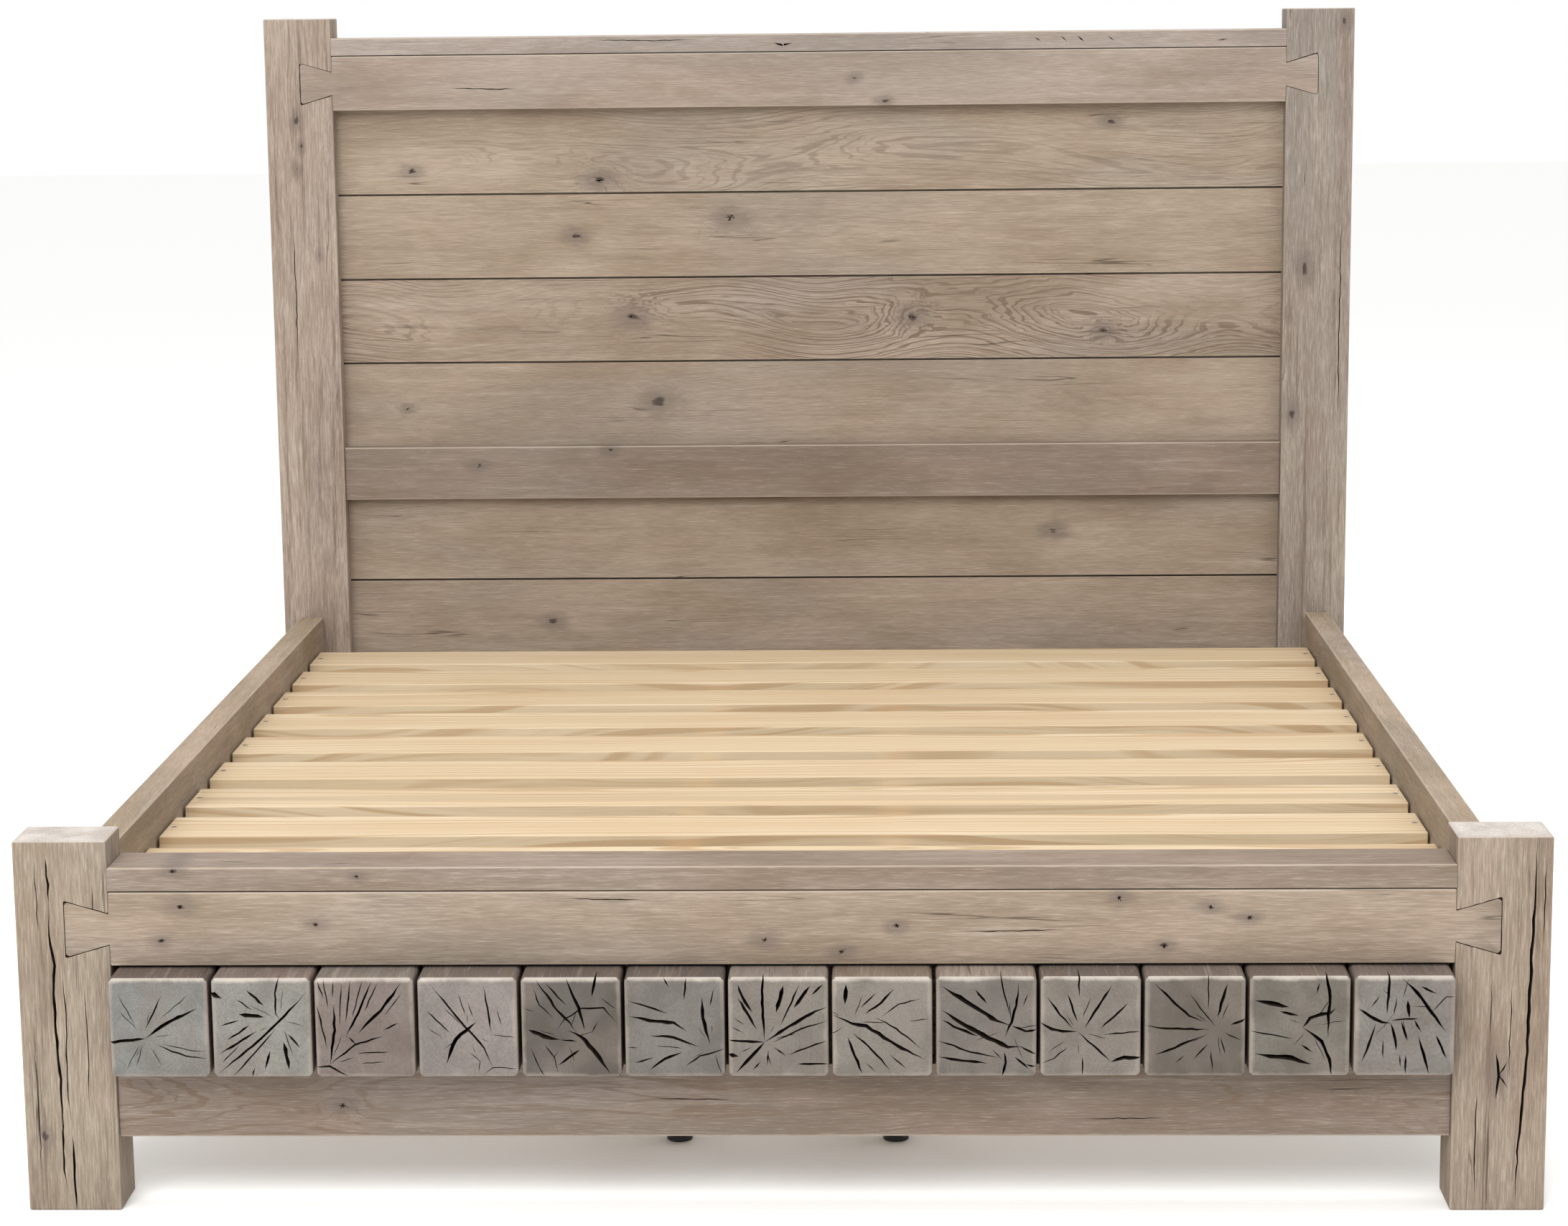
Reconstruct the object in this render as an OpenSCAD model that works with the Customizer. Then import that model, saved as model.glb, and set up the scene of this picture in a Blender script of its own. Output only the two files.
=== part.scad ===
// Solid oak bed frame for a king-size mattress.
// Two post-and-rail ends with face dovetails, a row of end-grain blocks in the footboard,
// hooked side rails, slats on ledgers, and two bearers on legs with levelling feet.
// Millimetres. +Z is up, +Y runs from the footboard to the headboard, and the origin is
// on the floor under the middle of the frame.

/* [Mattress] */
// Width of the mattress
mattress_w = 1930; // [1350:10:2350]
// Length of the mattress
mattress_l = 2030; // [1850:10:2450]
// Room between the mattress and the two side rails, both sides together
play_w = 25; // [5:1:60]
// Room between the mattress and the two ends, both ends together
play_l = 45; // [5:1:80]
// Height of the slat tops above the floor
deck_z = 400; // [330:1:480]

/* [Posts] */
// Width of a post, across the bed
post_w = 130; // [110:1:160]
// Depth of a post, along the bed
post_d = 90; // [84:1:120]
// How far the posts stand above the caps
post_over_cap = 38; // [10:1:80]

/* [Ends] */
// Height of every cross rail
rail_h = 104; // [86:1:125]
// Depth of the top rails, flush with the front of the posts
rail_d = 68; // [64:1:80]
// Thickness of the caps that lie on the top rails
cap_t = 35; // [24:1:50]
// Height of the shadow line along the underside of a cap
shadow_h = 2; // [1:0.5:4]
// Depth of the shadow line
shadow_d = 8; // [4:1:12]
// Width of the tongue that locates a cap in its rail
cap_tongue_w = 20; // [14:1:26]
// Height of that tongue
cap_tongue_h = 9; // [6:1:12]
// How far the underside of the footboard's lower rail lies below the slat tops
foot_low_drop = 295; // [250:1:320]
// How far the lower rails sit behind the front of the posts
rail_inset = 8; // [0:1:15]
// Thickness of the board that backs the blocks
backing_t = 20; // [15:1:24]
// Underside of the headboard's top rail above the floor
head_top_z = 1459; // [1200:1:1800]
// Underside of the headboard's middle rail above the floor
head_mid_z = 693; // [600:1:780]
// How far the headboard's lower rail reaches below the bearers
low_rail_drop = 32; // [20:1:40]
// Thickness of the headboard's planks
plank_t = 22; // [16:1:26]
// Gap between two planks
plank_gap = 3; // [1:0.5:6]
// How far the planks stand behind the front of the posts
plank_set = 38; // [34:1:40]

/* [Joints] */
// Length of a dovetail
tail_len = 61; // [40:1:80]
// Height of a dovetail at its wide end
tail_wide = 79; // [60:1:85]
// Height of a dovetail at its neck
tail_neck = 43; // [30:1:55]
// Radius of the rounded corners at a dovetail's wide end
tail_round = 5; // [2:0.5:8]
// Depth of a dovetail from the front
tail_deep = 40; // [25:1:50]
// Gap round a dovetail in its socket
tail_gap = 1.2; // [0.5:0.1:2]
// Length of the lower rails' tenons
tenon_len = 40; // [25:1:50]
// Thickness of the tenons
tenon_t = 22; // [16:1:28]
// How much lower than its rail a tenon is, at the top and again at the bottom
tenon_shoulder = 16; // [8:1:24]
// Clearance all round a tenon, plank or board in its housing
wood_gap = 0.4; // [0.2:0.1:1]
// Depth of the grooves that hold plank and board ends
groove_deep = 12; // [8:1:16]
// Length of the tongues along the plank edges
tongue_len = 8; // [5:1:12]
// Thickness of those tongues
tongue_t = 7; // [5:1:9]

/* [Blocks] */
// How far the end-grain blocks stand out in front of the posts
block_proud = 50; // [20:1:70]
// Height of a block
block_h = 141; // [120:1:170]
// Gap between two blocks
block_gap = 5; // [3:1:10]
// Gap between the row's ends and the posts
block_end_gap = 6; // [2:1:12]
// Gap between the blocks and the top rail
block_top_gap = 4; // [2:1:8]

/* [Side rails and slats] */
// Thickness of a side rail
side_t = 45; // [40:1:54]
// Height of a side rail
side_h = 215; // [190:1:225]
// How far the side rails sit in from the outsides of the posts
side_inset = 32; // [12:1:40]
// How far the side rails' tops stand above the slats
side_over_deck = 58; // [40:1:70]
// Width of a ledger
ledger_w = 30; // [24:1:45]
// Height of a ledger
ledger_h = 40; // [30:1:50]
// Width of a slat
slat_w = 130; // [100:1:150]
// Thickness of a slat
slat_t = 20; // [15:1:24]
// Gap between a slat's end and the side rail
slat_end_gap = 4; // [2:1:10]

/* [Bearers] */
// Distance of each bearer from the middle of the bed
bearer_x = 160; // [120:1:300]
// Width of a bearer
bearer_w = 45; // [40:1:60]
// Height of a bearer
bearer_h = 90; // [76:1:95]
// Distance of the outer legs from the ends of the bearers
leg_inset = 242; // [100:1:400]
// Side of a square leg
leg_w = 45; // [40:1:60]
// Radius of the round tenon on top of a leg
leg_tenon_r = 12; // [9:1:15]
// Length of that tenon
leg_tenon_len = 30; // [20:1:40]
// Thickness of the steel of the bearer brackets
bracket_t = 2.5; // [2:0.5:4]
// Width of a bracket's flanges
bracket_flange = 30; // [24:1:40]

/* [Levelling feet] */
// Radius of a foot's pad
pad_r = 19; // [15:1:25]
// Height of the pad
pad_h = 8; // [5:1:12]
// Radius of the threaded stud
stud_r = 5; // [4:1:6]
// Length of the stud above the adjusting hexagon
stud_len = 50; // [40:1:60]
// Clearance round the stud in its insert
stud_gap = 0.08; // [0.05:0.01:0.1]
// Radius of an insert's body
insert_r = 7.5; // [7:0.5:9]
// Length of an insert
insert_len = 22; // [15:1:30]
// Room left above the adjusting hexagon
foot_room = 10; // [9:1:14]

/* [Hooks] */
// Height of the hook and slot plates
plate_h = 120; // [110:1:130]
// Width of the hook and slot plates
plate_w = 34; // [30:1:38]
// Thickness of the hook and slot plates
plate_t = 3; // [2.5:0.5:4]
// Thickness of a hook
hook_t = 6; // [4:1:8]
// Height of a hook's neck
hook_neck = 14; // [10:1:16]
// How far a hook reaches down behind the slot plate
hook_drop = 9; // [6:1:10]
// Thickness of a hook's nose
hook_nose = 5; // [4:1:7]
// Distance from one hook to the next
hook_pitch = 62; // [58:1:66]

/* [Screws] */
// Radius of a wood screw's shank
screw_r = 2.5; // [2:0.25:3]
// Radius of its countersunk head
screw_head_r = 5; // [4:0.25:6]
// Height of the head
screw_head_h = 3; // [2:0.5:4]
// Length of a screw
screw_len = 48; // [40:1:55]
// Clearance round a screw
screw_gap = 0.1; // [0.05:0.05:0.2]

/* [Hidden] */
$fn = 48;
n_blocks = 13;
n_slats = 10;
n_upper_planks = 4;
n_lower_planks = 2;
n_legs = 3;

// Overall sizes
inside_w = mattress_w + play_w;                       // between the side rails
inside_l = mattress_l + play_l;                       // between the two ends
overall_w = inside_w + 2 * (side_t + side_inset);
overall_l = block_proud + inside_l + 2 * post_d;
between_posts = overall_w - 2 * post_w;
foot_y = -overall_l / 2 + block_proud;                // front of the footboard's posts
head_y = overall_l / 2 - post_d;                      // front of the headboard's posts
foot_back_y = foot_y + post_d;

// Heights in the footboard
foot_low_z = deck_z - foot_low_drop;                  // underside of the footboard's lower rail
block_z = foot_low_z + rail_h;
foot_top_z = block_z + block_h + block_top_gap;
foot_post_h = foot_top_z + rail_h + cap_t + post_over_cap;
block_w = (between_posts - 2 * block_end_gap - (n_blocks - 1) * block_gap) / n_blocks;
block_pitch = block_w + block_gap;
backing_y = foot_y + rail_d - backing_t;              // front of the backing board

// Heights in the headboard
head_post_h = head_top_z + rail_h + cap_t + post_over_cap;
plank_y = head_y + plank_set;
upper_z = head_mid_z + rail_h;
upper_plank_h = (head_top_z - upper_z) / n_upper_planks;

// Side rails, ledgers and slats
side_x = inside_w / 2;                                // inner face of a side rail
side_top_z = deck_z + side_over_deck;
side_z = side_top_z - side_h;
ledger_z = deck_z - slat_t - ledger_h;
slat_z = deck_z - slat_t;
slat_space = (inside_l - n_slats * slat_w) / (n_slats + 1);
slat_y0 = foot_back_y + slat_space;
slat_pitch = slat_w + slat_space;
slat_screw_x = side_x - ledger_w / 2;

// Bearers, legs and feet
bearer_z = slat_z - bearer_h;
head_low_z = bearer_z - low_rail_drop;                // underside of the headboard's lower rail
lower_z = head_low_z + rail_h;
lower_plank_h = (head_mid_z - lower_z) / n_lower_planks;
bearer_y0 = foot_y + rail_d;
bearer_y1 = head_y + rail_inset;
bearer_len = bearer_y1 - bearer_y0;
hex_h = 6;
cone_h = 6;
hex_z = pad_h + cone_h;                               // underside of the adjusting hexagon
hex_r = 9.5;
cone_r = 11;
leg_z = hex_z + hex_h + foot_room;
stud_room = 12;                                       // bore above the stud at rest

// Where the side rails hook on
plate_x = side_x + side_t / 2;
plate_z = side_z + (side_h - plate_h) / 2;
hook_zs = [for (k = [-0.5, 0.5]) plate_z + plate_h / 2 + k * hook_pitch - hook_neck / 2];
hook_gap = 0.4;                                       // clearance round a hook

bracket_h = 62;
bracket_screw_zs = [18, 46];

// ---------------------------------------------------------------- helpers

// A box between two opposite corners.
module box(lo, hi) {
    translate(lo) cube(hi - lo);
}

// The left child and its mirror image on the right.
module both_sides() {
    children();
    mirror([1, 0, 0]) children();
}

// A countersunk screw. Its head's top is at the origin and it points along +Z.
module screw(gap = 0) {
    union() {
        cylinder(h = screw_head_h, r1 = screw_head_r + gap, r2 = screw_r + gap);
        cylinder(h = screw_len + gap, r = screw_r + gap);
    }
}

// Screws that hold the left half of the frame. With a gap they are the holes.
module screws_left(gap = 0) {
    for (z = ledger_screw_zs, y = ledger_screw_ys)
        translate([-side_x + ledger_w, y, z]) rotate([0, -90, 0]) screw(gap);
    for (k = [0 : n_slats - 1])
        translate([-slat_screw_x, slat_y0 + k * slat_pitch + slat_w / 2, deck_z])
            rotate([180, 0, 0]) screw(gap);
    for (z = plate_screw_zs) {
        translate([-plate_x, foot_back_y, z]) rotate([90, 0, 0]) screw(gap);
        translate([-plate_x, foot_back_y, z]) rotate([-90, 0, 0]) screw(gap);
        translate([-plate_x, head_y, z]) rotate([-90, 0, 0]) screw(gap);
        translate([-plate_x, head_y, z]) rotate([90, 0, 0]) screw(gap);
    }
}
ledger_screw_zs = [ledger_z + 13];
ledger_screw_ys = [for (k = [0 : 4]) foot_back_y + inside_l * (k + 0.5) / 5];
plate_screw_zs = [plate_z + plate_h / 2 - hook_drop / 2];

// Screws through the backing board into the blocks, two to a block.
module block_screws(gap = 0) {
    for (k = [0 : n_blocks - 1], dz = [-0.28, 0.28])
        translate([block_x(k) + block_w / 2, foot_y + rail_d, block_z + block_h * (0.5 + dz)])
            rotate([90, 0, 0]) screw(gap);
}

// Screws that hold the bearer brackets.
module bracket_screws(gap = 0) {
    for (x = [-bearer_x, bearer_x], side = [-1, 1], z = bracket_screw_zs) {
        dx = side * (bearer_w / 2 + bracket_t + wood_gap + bracket_flange / 2);
        translate([x + dx, bearer_y0 + bracket_t, bearer_z + z]) rotate([90, 0, 0])
            bracket_screw(gap, bracket_screw_len);
        translate([x + dx, bearer_y1 - bracket_t, bearer_z + z]) rotate([-90, 0, 0])
            bracket_screw(gap, bracket_screw_len);
    }
}

// A shorter screw, which stays inside the board it goes into.
module bracket_screw(gap, length) {
    union() {
        cylinder(h = bracket_t, r1 = screw_head_r + gap, r2 = screw_r + gap);
        cylinder(h = length + gap, r = screw_r + gap);
    }
}
bracket_screw_len = backing_t * 0.8;

// ---------------------------------------------------------------- posts

// Outline of the left dovetail in the XZ plane, grown by a gap.
module tail_outline(z_mid, gap = 0) {
    inner = -between_posts / 2;
    end_x = inner - tail_len - gap;
    half_end = tail_wide / 2 + gap;
    half_neck = tail_neck / 2 + gap;
    slant = atan((half_end - half_neck) / (tail_len + gap));
    radius = tail_round + gap;
    cut = radius / tan((90 - slant) / 2);             // from the sharp corner to the arc's ends
    for (side = [-1, 1]) {
        polygon([
            [inner + 1, z_mid], [inner + 1, z_mid + side * half_neck],
            [inner, z_mid + side * half_neck],
            [end_x + cut * cos(slant), z_mid + side * (half_end - cut * sin(slant))],
            [end_x, z_mid + side * (half_end - cut)], [end_x, z_mid]
        ]);
        translate([end_x + radius, z_mid + side * (half_end - cut)]) circle(radius);
    }
}

// The left dovetail as a solid, from the front of an end back into its post.
module tail(y_front, z_mid, gap = 0) {
    translate([0, y_front + tail_deep + gap, 0]) rotate([90, 0, 0])
        linear_extrude(tail_deep + gap + (gap > 0 ? 1 : 0)) tail_outline(z_mid, gap);
}

// The left tenon of a lower rail, or with a gap its mortise.
module tenon(y_front, z_low, gap = 0) {
    y_mid = y_front + (rail_inset + rail_d) / 2;
    box([-between_posts / 2 - tenon_len - gap, y_mid - tenon_t / 2 - gap,
         z_low + tenon_shoulder - gap],
        [-between_posts / 2 + 1, y_mid + tenon_t / 2 + gap,
         z_low + rail_h - tenon_shoulder + gap]);
}

// A groove in the inner face of the left post.
module post_groove(y0, y1, z0, z1) {
    box([-between_posts / 2 - groove_deep - wood_gap, y0 - wood_gap, z0],
        [-between_posts / 2 + 1, y1 + wood_gap, z1]);
}

// The recess for a slot plate and the pockets for the hooks. dir is -1 into +Y, 1 into -Y.
module plate_recess(y_face, dir) {
    y_plate = y_face - dir * plate_t;
    y_pocket = y_plate - dir * (hook_nose + 2 * hook_gap);
    box([-plate_x - plate_w / 2, min(y_face + dir, y_plate), plate_z],
        [-plate_x + plate_w / 2, max(y_face + dir, y_plate), plate_z + plate_h]);
    for (z = hook_zs)
        box([-plate_x - hook_t / 2 - hook_gap, min(y_face, y_pocket), z - hook_drop - hook_gap],
            [-plate_x + hook_t / 2 + hook_gap, max(y_face, y_pocket),
             z + hook_neck + hook_drop + 2 * hook_gap]);
}

module footboard_post() {
    color("tan") difference() {
        box([-overall_w / 2, foot_y, 0], [-between_posts / 2, foot_back_y, foot_post_h]);
        tail(foot_y, foot_top_z + rail_h / 2, tail_gap);
        tenon(foot_y, foot_low_z, wood_gap);
        post_groove(backing_y, foot_y + rail_d, block_z, foot_top_z);
        plate_recess(foot_back_y, 1);
        screws_left(screw_gap);
    }
}

module headboard_post() {
    color("tan") difference() {
        box([-overall_w / 2, head_y, 0], [-between_posts / 2, head_y + post_d, head_post_h]);
        tail(head_y, head_top_z + rail_h / 2, tail_gap);
        tenon(head_y, head_mid_z, wood_gap);
        tenon(head_y, head_low_z, wood_gap);
        post_groove(plank_y, plank_y + plank_t, upper_z, head_top_z);
        post_groove(plank_y, plank_y + plank_t, lower_z, head_mid_z);
        plate_recess(head_y, -1);
        screws_left(screw_gap);
    }
}

// ---------------------------------------------------------------- rails and caps

// A groove along a rail's top or bottom edge for a plank edge.
module rail_groove(z0, z1) {
    box([-between_posts / 2 - 1, plank_y - wood_gap, z0],
        [between_posts / 2 + 1, plank_y + plank_t + wood_gap, z1]);
}

// A top rail with a dovetail at each end.
module top_rail(y_front, z_low) {
    difference() {
        union() {
            box([-between_posts / 2, y_front, z_low],
                [between_posts / 2, y_front + rail_d, z_low + rail_h]);
            both_sides() tail(y_front, z_low + rail_h / 2);
        }
        cap_tongue(y_front, z_low + rail_h, wood_gap);
    }
}

// The tongue under a cap, or with a gap the groove that it drops into.
module cap_tongue(y_front, z_top, gap = 0) {
    half = between_posts / 2 - 60 + gap;
    box([-half, y_front + (rail_d - cap_tongue_w) / 2 - gap, z_top - cap_tongue_h - gap],
        [half, y_front + (rail_d + cap_tongue_w) / 2 + gap, z_top + 1]);
}

module footboard_top_rail() {
    color("burlywood") difference() {
        top_rail(foot_y, foot_top_z);
        bracket_screws(screw_gap);
    }
}

module headboard_top_rail() {
    color("burlywood") difference() {
        top_rail(head_y, head_top_z);
        rail_groove(head_top_z - 1, head_top_z + groove_deep + wood_gap);
    }
}

// A cap with its tongue, and a shadow line along its front where it meets the rail.
module cap(y_front, z_low) {
    color("burlywood") difference() {
        union() {
            box([-between_posts / 2, y_front, z_low],
                [between_posts / 2, y_front + post_d, z_low + cap_t]);
            cap_tongue(y_front, z_low);
        }
        box([-between_posts / 2 - 1, y_front - 1, z_low - 1],
            [between_posts / 2 + 1, y_front + shadow_d, z_low + shadow_h]);
    }
}

// A rail that sits behind the front of the posts, with a tenon at each end.
module lower_rail(y_front, z_low) {
    union() {
        box([-between_posts / 2, y_front + rail_inset, z_low],
            [between_posts / 2, y_front + rail_d, z_low + rail_h]);
        both_sides() tenon(y_front, z_low);
    }
}

module footboard_lower_rail() {
    color("burlywood") difference() {
        lower_rail(foot_y, foot_low_z);
        bracket_screws(screw_gap);
    }
}

// A headboard rail, with grooves for the planks above and below where it has them.
module grooved_rail(z_low, groove_below) {
    color("burlywood") difference() {
        lower_rail(head_y, z_low);
        rail_groove(z_low + rail_h - groove_deep - wood_gap, z_low + rail_h + 1);
        if (groove_below) rail_groove(z_low - 1, z_low + groove_deep + wood_gap);
        bracket_screws(screw_gap);
    }
}

// ---------------------------------------------------------------- footboard filling

module footboard_backing_board() {
    color("peru") difference() {
        box([-between_posts / 2 - groove_deep, backing_y, block_z],
            [between_posts / 2 + groove_deep, foot_y + rail_d, foot_top_z - wood_gap]);
        block_screws(screw_gap);
        bracket_screws(screw_gap);
    }
}

// Left side of block k.
function block_x(k) = -between_posts / 2 + block_end_gap + k * block_pitch;

module end_grain_block(k) {
    color("darkgray") difference() {
        box([block_x(k), foot_y - block_proud, block_z],
            [block_x(k) + block_w, backing_y, block_z + block_h]);
        block_screws(screw_gap);
    }
}

// ---------------------------------------------------------------- headboard planks

// A plank from z0, of height h. Its lower edge goes into the rail below or takes the tongue
// of the plank below, and its upper edge goes into the rail above or carries a tongue.
module plank(z0, h, first, last) {
    y_mid = plank_y + plank_t / 2;
    half = between_posts / 2;
    low = first ? z0 - groove_deep : z0 + plank_gap / 2;
    high = last ? z0 + h + groove_deep : z0 + h - plank_gap / 2;
    color("burlywood") difference() {
        union() {
            box([-half - groove_deep, plank_y, max(low, z0)],
                [half + groove_deep, plank_y + plank_t, min(high, z0 + h)]);
            box([-half, plank_y, low], [half, plank_y + plank_t, high]);
            if (!last)
                box([-half, y_mid - tongue_t / 2, high - 1],
                    [half, y_mid + tongue_t / 2, high + plank_gap + tongue_len]);
        }
        if (!first)
            box([-half - groove_deep - 1, y_mid - tongue_t / 2 - wood_gap, low - 1],
                [half + groove_deep + 1, y_mid + tongue_t / 2 + wood_gap,
                 low + tongue_len + wood_gap]);
    }
}

// Planks 1 to 4 count down from the top rail, and 5 and 6 lie under the middle rail.
module headboard_plank(k) {
    if (k <= n_upper_planks)
        plank(upper_z + (n_upper_planks - k) * upper_plank_h, upper_plank_h,
              k == n_upper_planks, k == 1);
    else
        plank(lower_z + (n_upper_planks + n_lower_planks - k) * lower_plank_h, lower_plank_h,
              k == n_upper_planks + n_lower_planks, k == n_upper_planks + 1);
}

// ---------------------------------------------------------------- side rails and slats

module side_rail() {
    color("tan") difference() {
        box([-side_x - side_t, foot_back_y, side_z], [-side_x, head_y, side_top_z]);
        for (y = [foot_back_y - 1, head_y - plate_t])
            box([-plate_x - plate_w / 2, y, plate_z],
                [-plate_x + plate_w / 2, y + plate_t + 1, plate_z + plate_h]);
        screws_left(screw_gap);
    }
}

module ledger() {
    color("wheat") difference() {
        box([-side_x, foot_back_y, ledger_z],
            [-side_x + ledger_w, head_y, ledger_z + ledger_h]);
        screws_left(screw_gap);
    }
}

module slat(k) {
    color("wheat") difference() {
        box([-side_x + slat_end_gap, slat_y0 + k * slat_pitch, slat_z],
            [side_x - slat_end_gap, slat_y0 + k * slat_pitch + slat_w, deck_z]);
        both_sides() screws_left(screw_gap);
    }
}

// ---------------------------------------------------------------- bearers

// How far along a bearer leg k stands.
function leg_y(k) =
    bearer_y0 + leg_inset + k * (bearer_len - 2 * leg_inset) / (n_legs - 1);

// A bearer at x, with a bore in its underside for each leg.
module bearer(x) {
    color("wheat") difference() {
        box([x - bearer_w / 2, bearer_y0 + bracket_t, bearer_z],
            [x + bearer_w / 2, bearer_y1 - bracket_t, slat_z]);
        for (k = [0 : n_legs - 1])
            translate([x, leg_y(k), bearer_z - 1])
                cylinder(h = leg_tenon_len + 2, r = leg_tenon_r + wood_gap / 2);
    }
}

// A U-shaped bracket at the origin's face, opening along +Y, with a flange on each side.
module bracket() {
    inner = bearer_w / 2 + wood_gap;
    outer = inner + bracket_t;
    difference() {
        union() {
            box([-outer, 0, -bracket_t - wood_gap], [outer, 45, bracket_h]);
            box([-outer - bracket_flange, 0, -bracket_t - wood_gap],
                [outer + bracket_flange, bracket_t, bracket_h]);
        }
        box([-inner, bracket_t, -wood_gap], [inner, 46, bracket_h + 1]);
    }
}

module bearer_brackets() {
    color("dimgray") difference() {
        for (x = [-bearer_x, bearer_x]) {
            translate([x, bearer_y0, bearer_z]) bracket();
            translate([x, bearer_y1, bearer_z]) mirror([0, 1, 0]) bracket();
        }
        bracket_screws(screw_gap);
    }
}

// A square leg with a round tenon on top and a stepped bore for its insert and stud.
module leg() {
    difference() {
        union() {
            box([-leg_w / 2, -leg_w / 2, leg_z], [leg_w / 2, leg_w / 2, bearer_z]);
            translate([0, 0, bearer_z - 1]) cylinder(h = leg_tenon_len + 1, r = leg_tenon_r);
        }
        translate([0, 0, leg_z - 1])
            cylinder(h = insert_len + 1, r = insert_r);
        translate([0, 0, leg_z])
            cylinder(h = stud_len + stud_room, r = stud_r + stud_gap + 0.5);
    }
}

module at_legs() {
    for (x = [-bearer_x, bearer_x], k = [0 : n_legs - 1]) translate([x, leg_y(k), 0]) children();
}

module bearer_legs() {
    color("wheat") at_legs() leg();
}

module leg_inserts() {
    color("goldenrod") at_legs() difference() {
        translate([0, 0, leg_z]) cylinder(h = insert_len, r = insert_r);
        translate([0, 0, leg_z - 1]) cylinder(h = insert_len + 2, r = stud_r + stud_gap);
    }
}

// Foot 1 to 3 stand under the left bearer from the footboard back, and 4 to 6 under the right.
module levelling_foot(number) {
    left = number <= n_legs;
    x = left ? -bearer_x : bearer_x;
    k = left ? number - 1 : number - 1 - n_legs;
    color("black") translate([x, leg_y(k), 0]) union() {
        cylinder(h = pad_h, r = pad_r);
        translate([0, 0, pad_h]) cylinder(h = cone_h, r1 = pad_r - 2, r2 = cone_r);
        translate([0, 0, hex_z]) cylinder(h = hex_h, r = hex_r, $fn = 6);
        translate([0, 0, hex_z + hex_h - 1]) cylinder(h = stud_len + 1, r = stud_r);
    }
}

// ---------------------------------------------------------------- fittings

// A plate on a rail's end with two hooks. At the origin's plane, hooking along -Y.
module hook_plate() {
    box([-plate_x - plate_w / 2, 0, plate_z],
        [-plate_x + plate_w / 2, plate_t, plate_z + plate_h]);
    for (z = hook_zs) {
        box([-plate_x - hook_t / 2, -plate_t - hook_gap - 1, z],
            [-plate_x + hook_t / 2, plate_t / 2, z + hook_neck]);
        box([-plate_x - hook_t / 2, -plate_t - hook_gap - hook_nose, z - hook_drop],
            [-plate_x + hook_t / 2, -plate_t - hook_gap, z + hook_neck]);
    }
}

// The plate in a post that the hooks drop into. At the origin's plane, with the post along -Y.
module slot_plate() {
    difference() {
        box([-plate_x - plate_w / 2, -plate_t, plate_z],
            [-plate_x + plate_w / 2, 0, plate_z + plate_h]);
        for (z = hook_zs)
            box([-plate_x - hook_t / 2 - hook_gap, -plate_t - 1, z - hook_gap],
                [-plate_x + hook_t / 2 + hook_gap, 1, z + hook_neck + hook_drop + hook_gap]);
    }
}

// A fitting at both ends of the left side rail and of the right one.
module at_rail_ends() {
    both_sides() {
        translate([0, foot_back_y, 0]) children();
        translate([0, head_y, 0]) mirror([0, 1, 0]) children();
    }
}

module rail_hook_plates() {
    color("silver") difference() {
        at_rail_ends() hook_plate();
        both_sides() screws_left(screw_gap);
    }
}

module post_slot_plates() {
    color("silver") difference() {
        at_rail_ends() slot_plate();
        both_sides() screws_left(screw_gap);
    }
}

module wood_screws() {
    color("gray") {
        both_sides() screws_left();
        block_screws();
        bracket_screws();
    }
}

// ---------------------------------------------------------------- nodes

footboard_post();  // footboard_post_left
mirror([1, 0, 0]) footboard_post();  // footboard_post_right
footboard_top_rail();
cap(foot_y, foot_top_z + rail_h);  // footboard_cap
footboard_lower_rail();
footboard_backing_board();
end_grain_block(0);  // end_grain_block_01
end_grain_block(1);  // end_grain_block_02
end_grain_block(2);  // end_grain_block_03
end_grain_block(3);  // end_grain_block_04
end_grain_block(4);  // end_grain_block_05
end_grain_block(5);  // end_grain_block_06
end_grain_block(6);  // end_grain_block_07
end_grain_block(7);  // end_grain_block_08
end_grain_block(8);  // end_grain_block_09
end_grain_block(9);  // end_grain_block_10
end_grain_block(10);  // end_grain_block_11
end_grain_block(11);  // end_grain_block_12
end_grain_block(12);  // end_grain_block_13
headboard_post();  // headboard_post_left
mirror([1, 0, 0]) headboard_post();  // headboard_post_right
headboard_top_rail();
cap(head_y, head_top_z + rail_h);  // headboard_cap
grooved_rail(head_mid_z, true);  // headboard_middle_rail
grooved_rail(head_low_z, false);  // headboard_lower_rail
headboard_plank(1);  // headboard_plank_1
headboard_plank(2);  // headboard_plank_2
headboard_plank(3);  // headboard_plank_3
headboard_plank(4);  // headboard_plank_4
headboard_plank(5);  // headboard_plank_5
headboard_plank(6);  // headboard_plank_6
side_rail();  // side_rail_left
mirror([1, 0, 0]) side_rail();  // side_rail_right
ledger();  // ledger_left
mirror([1, 0, 0]) ledger();  // ledger_right
slat(0);  // slat_01
slat(1);  // slat_02
slat(2);  // slat_03
slat(3);  // slat_04
slat(4);  // slat_05
slat(5);  // slat_06
slat(6);  // slat_07
slat(7);  // slat_08
slat(8);  // slat_09
slat(9);  // slat_10
bearer(-bearer_x);  // bearer_left
bearer(bearer_x);  // bearer_right
bearer_brackets();
bearer_legs();
leg_inserts();
levelling_foot(1);  // levelling_foot_1
levelling_foot(2);  // levelling_foot_2
levelling_foot(3);  // levelling_foot_3
levelling_foot(4);  // levelling_foot_4
levelling_foot(5);  // levelling_foot_5
levelling_foot(6);  // levelling_foot_6
rail_hook_plates();
post_slot_plates();
wood_screws();
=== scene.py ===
# %% [markdown]
# A solid oak bed frame for a king-size mattress. The CAD model holds the real sizes and joints.
# This lesson dresses it: every board gets eased edges, every block its drying cracks, and every
# surface a material that is worked out from how wood grows.

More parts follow.
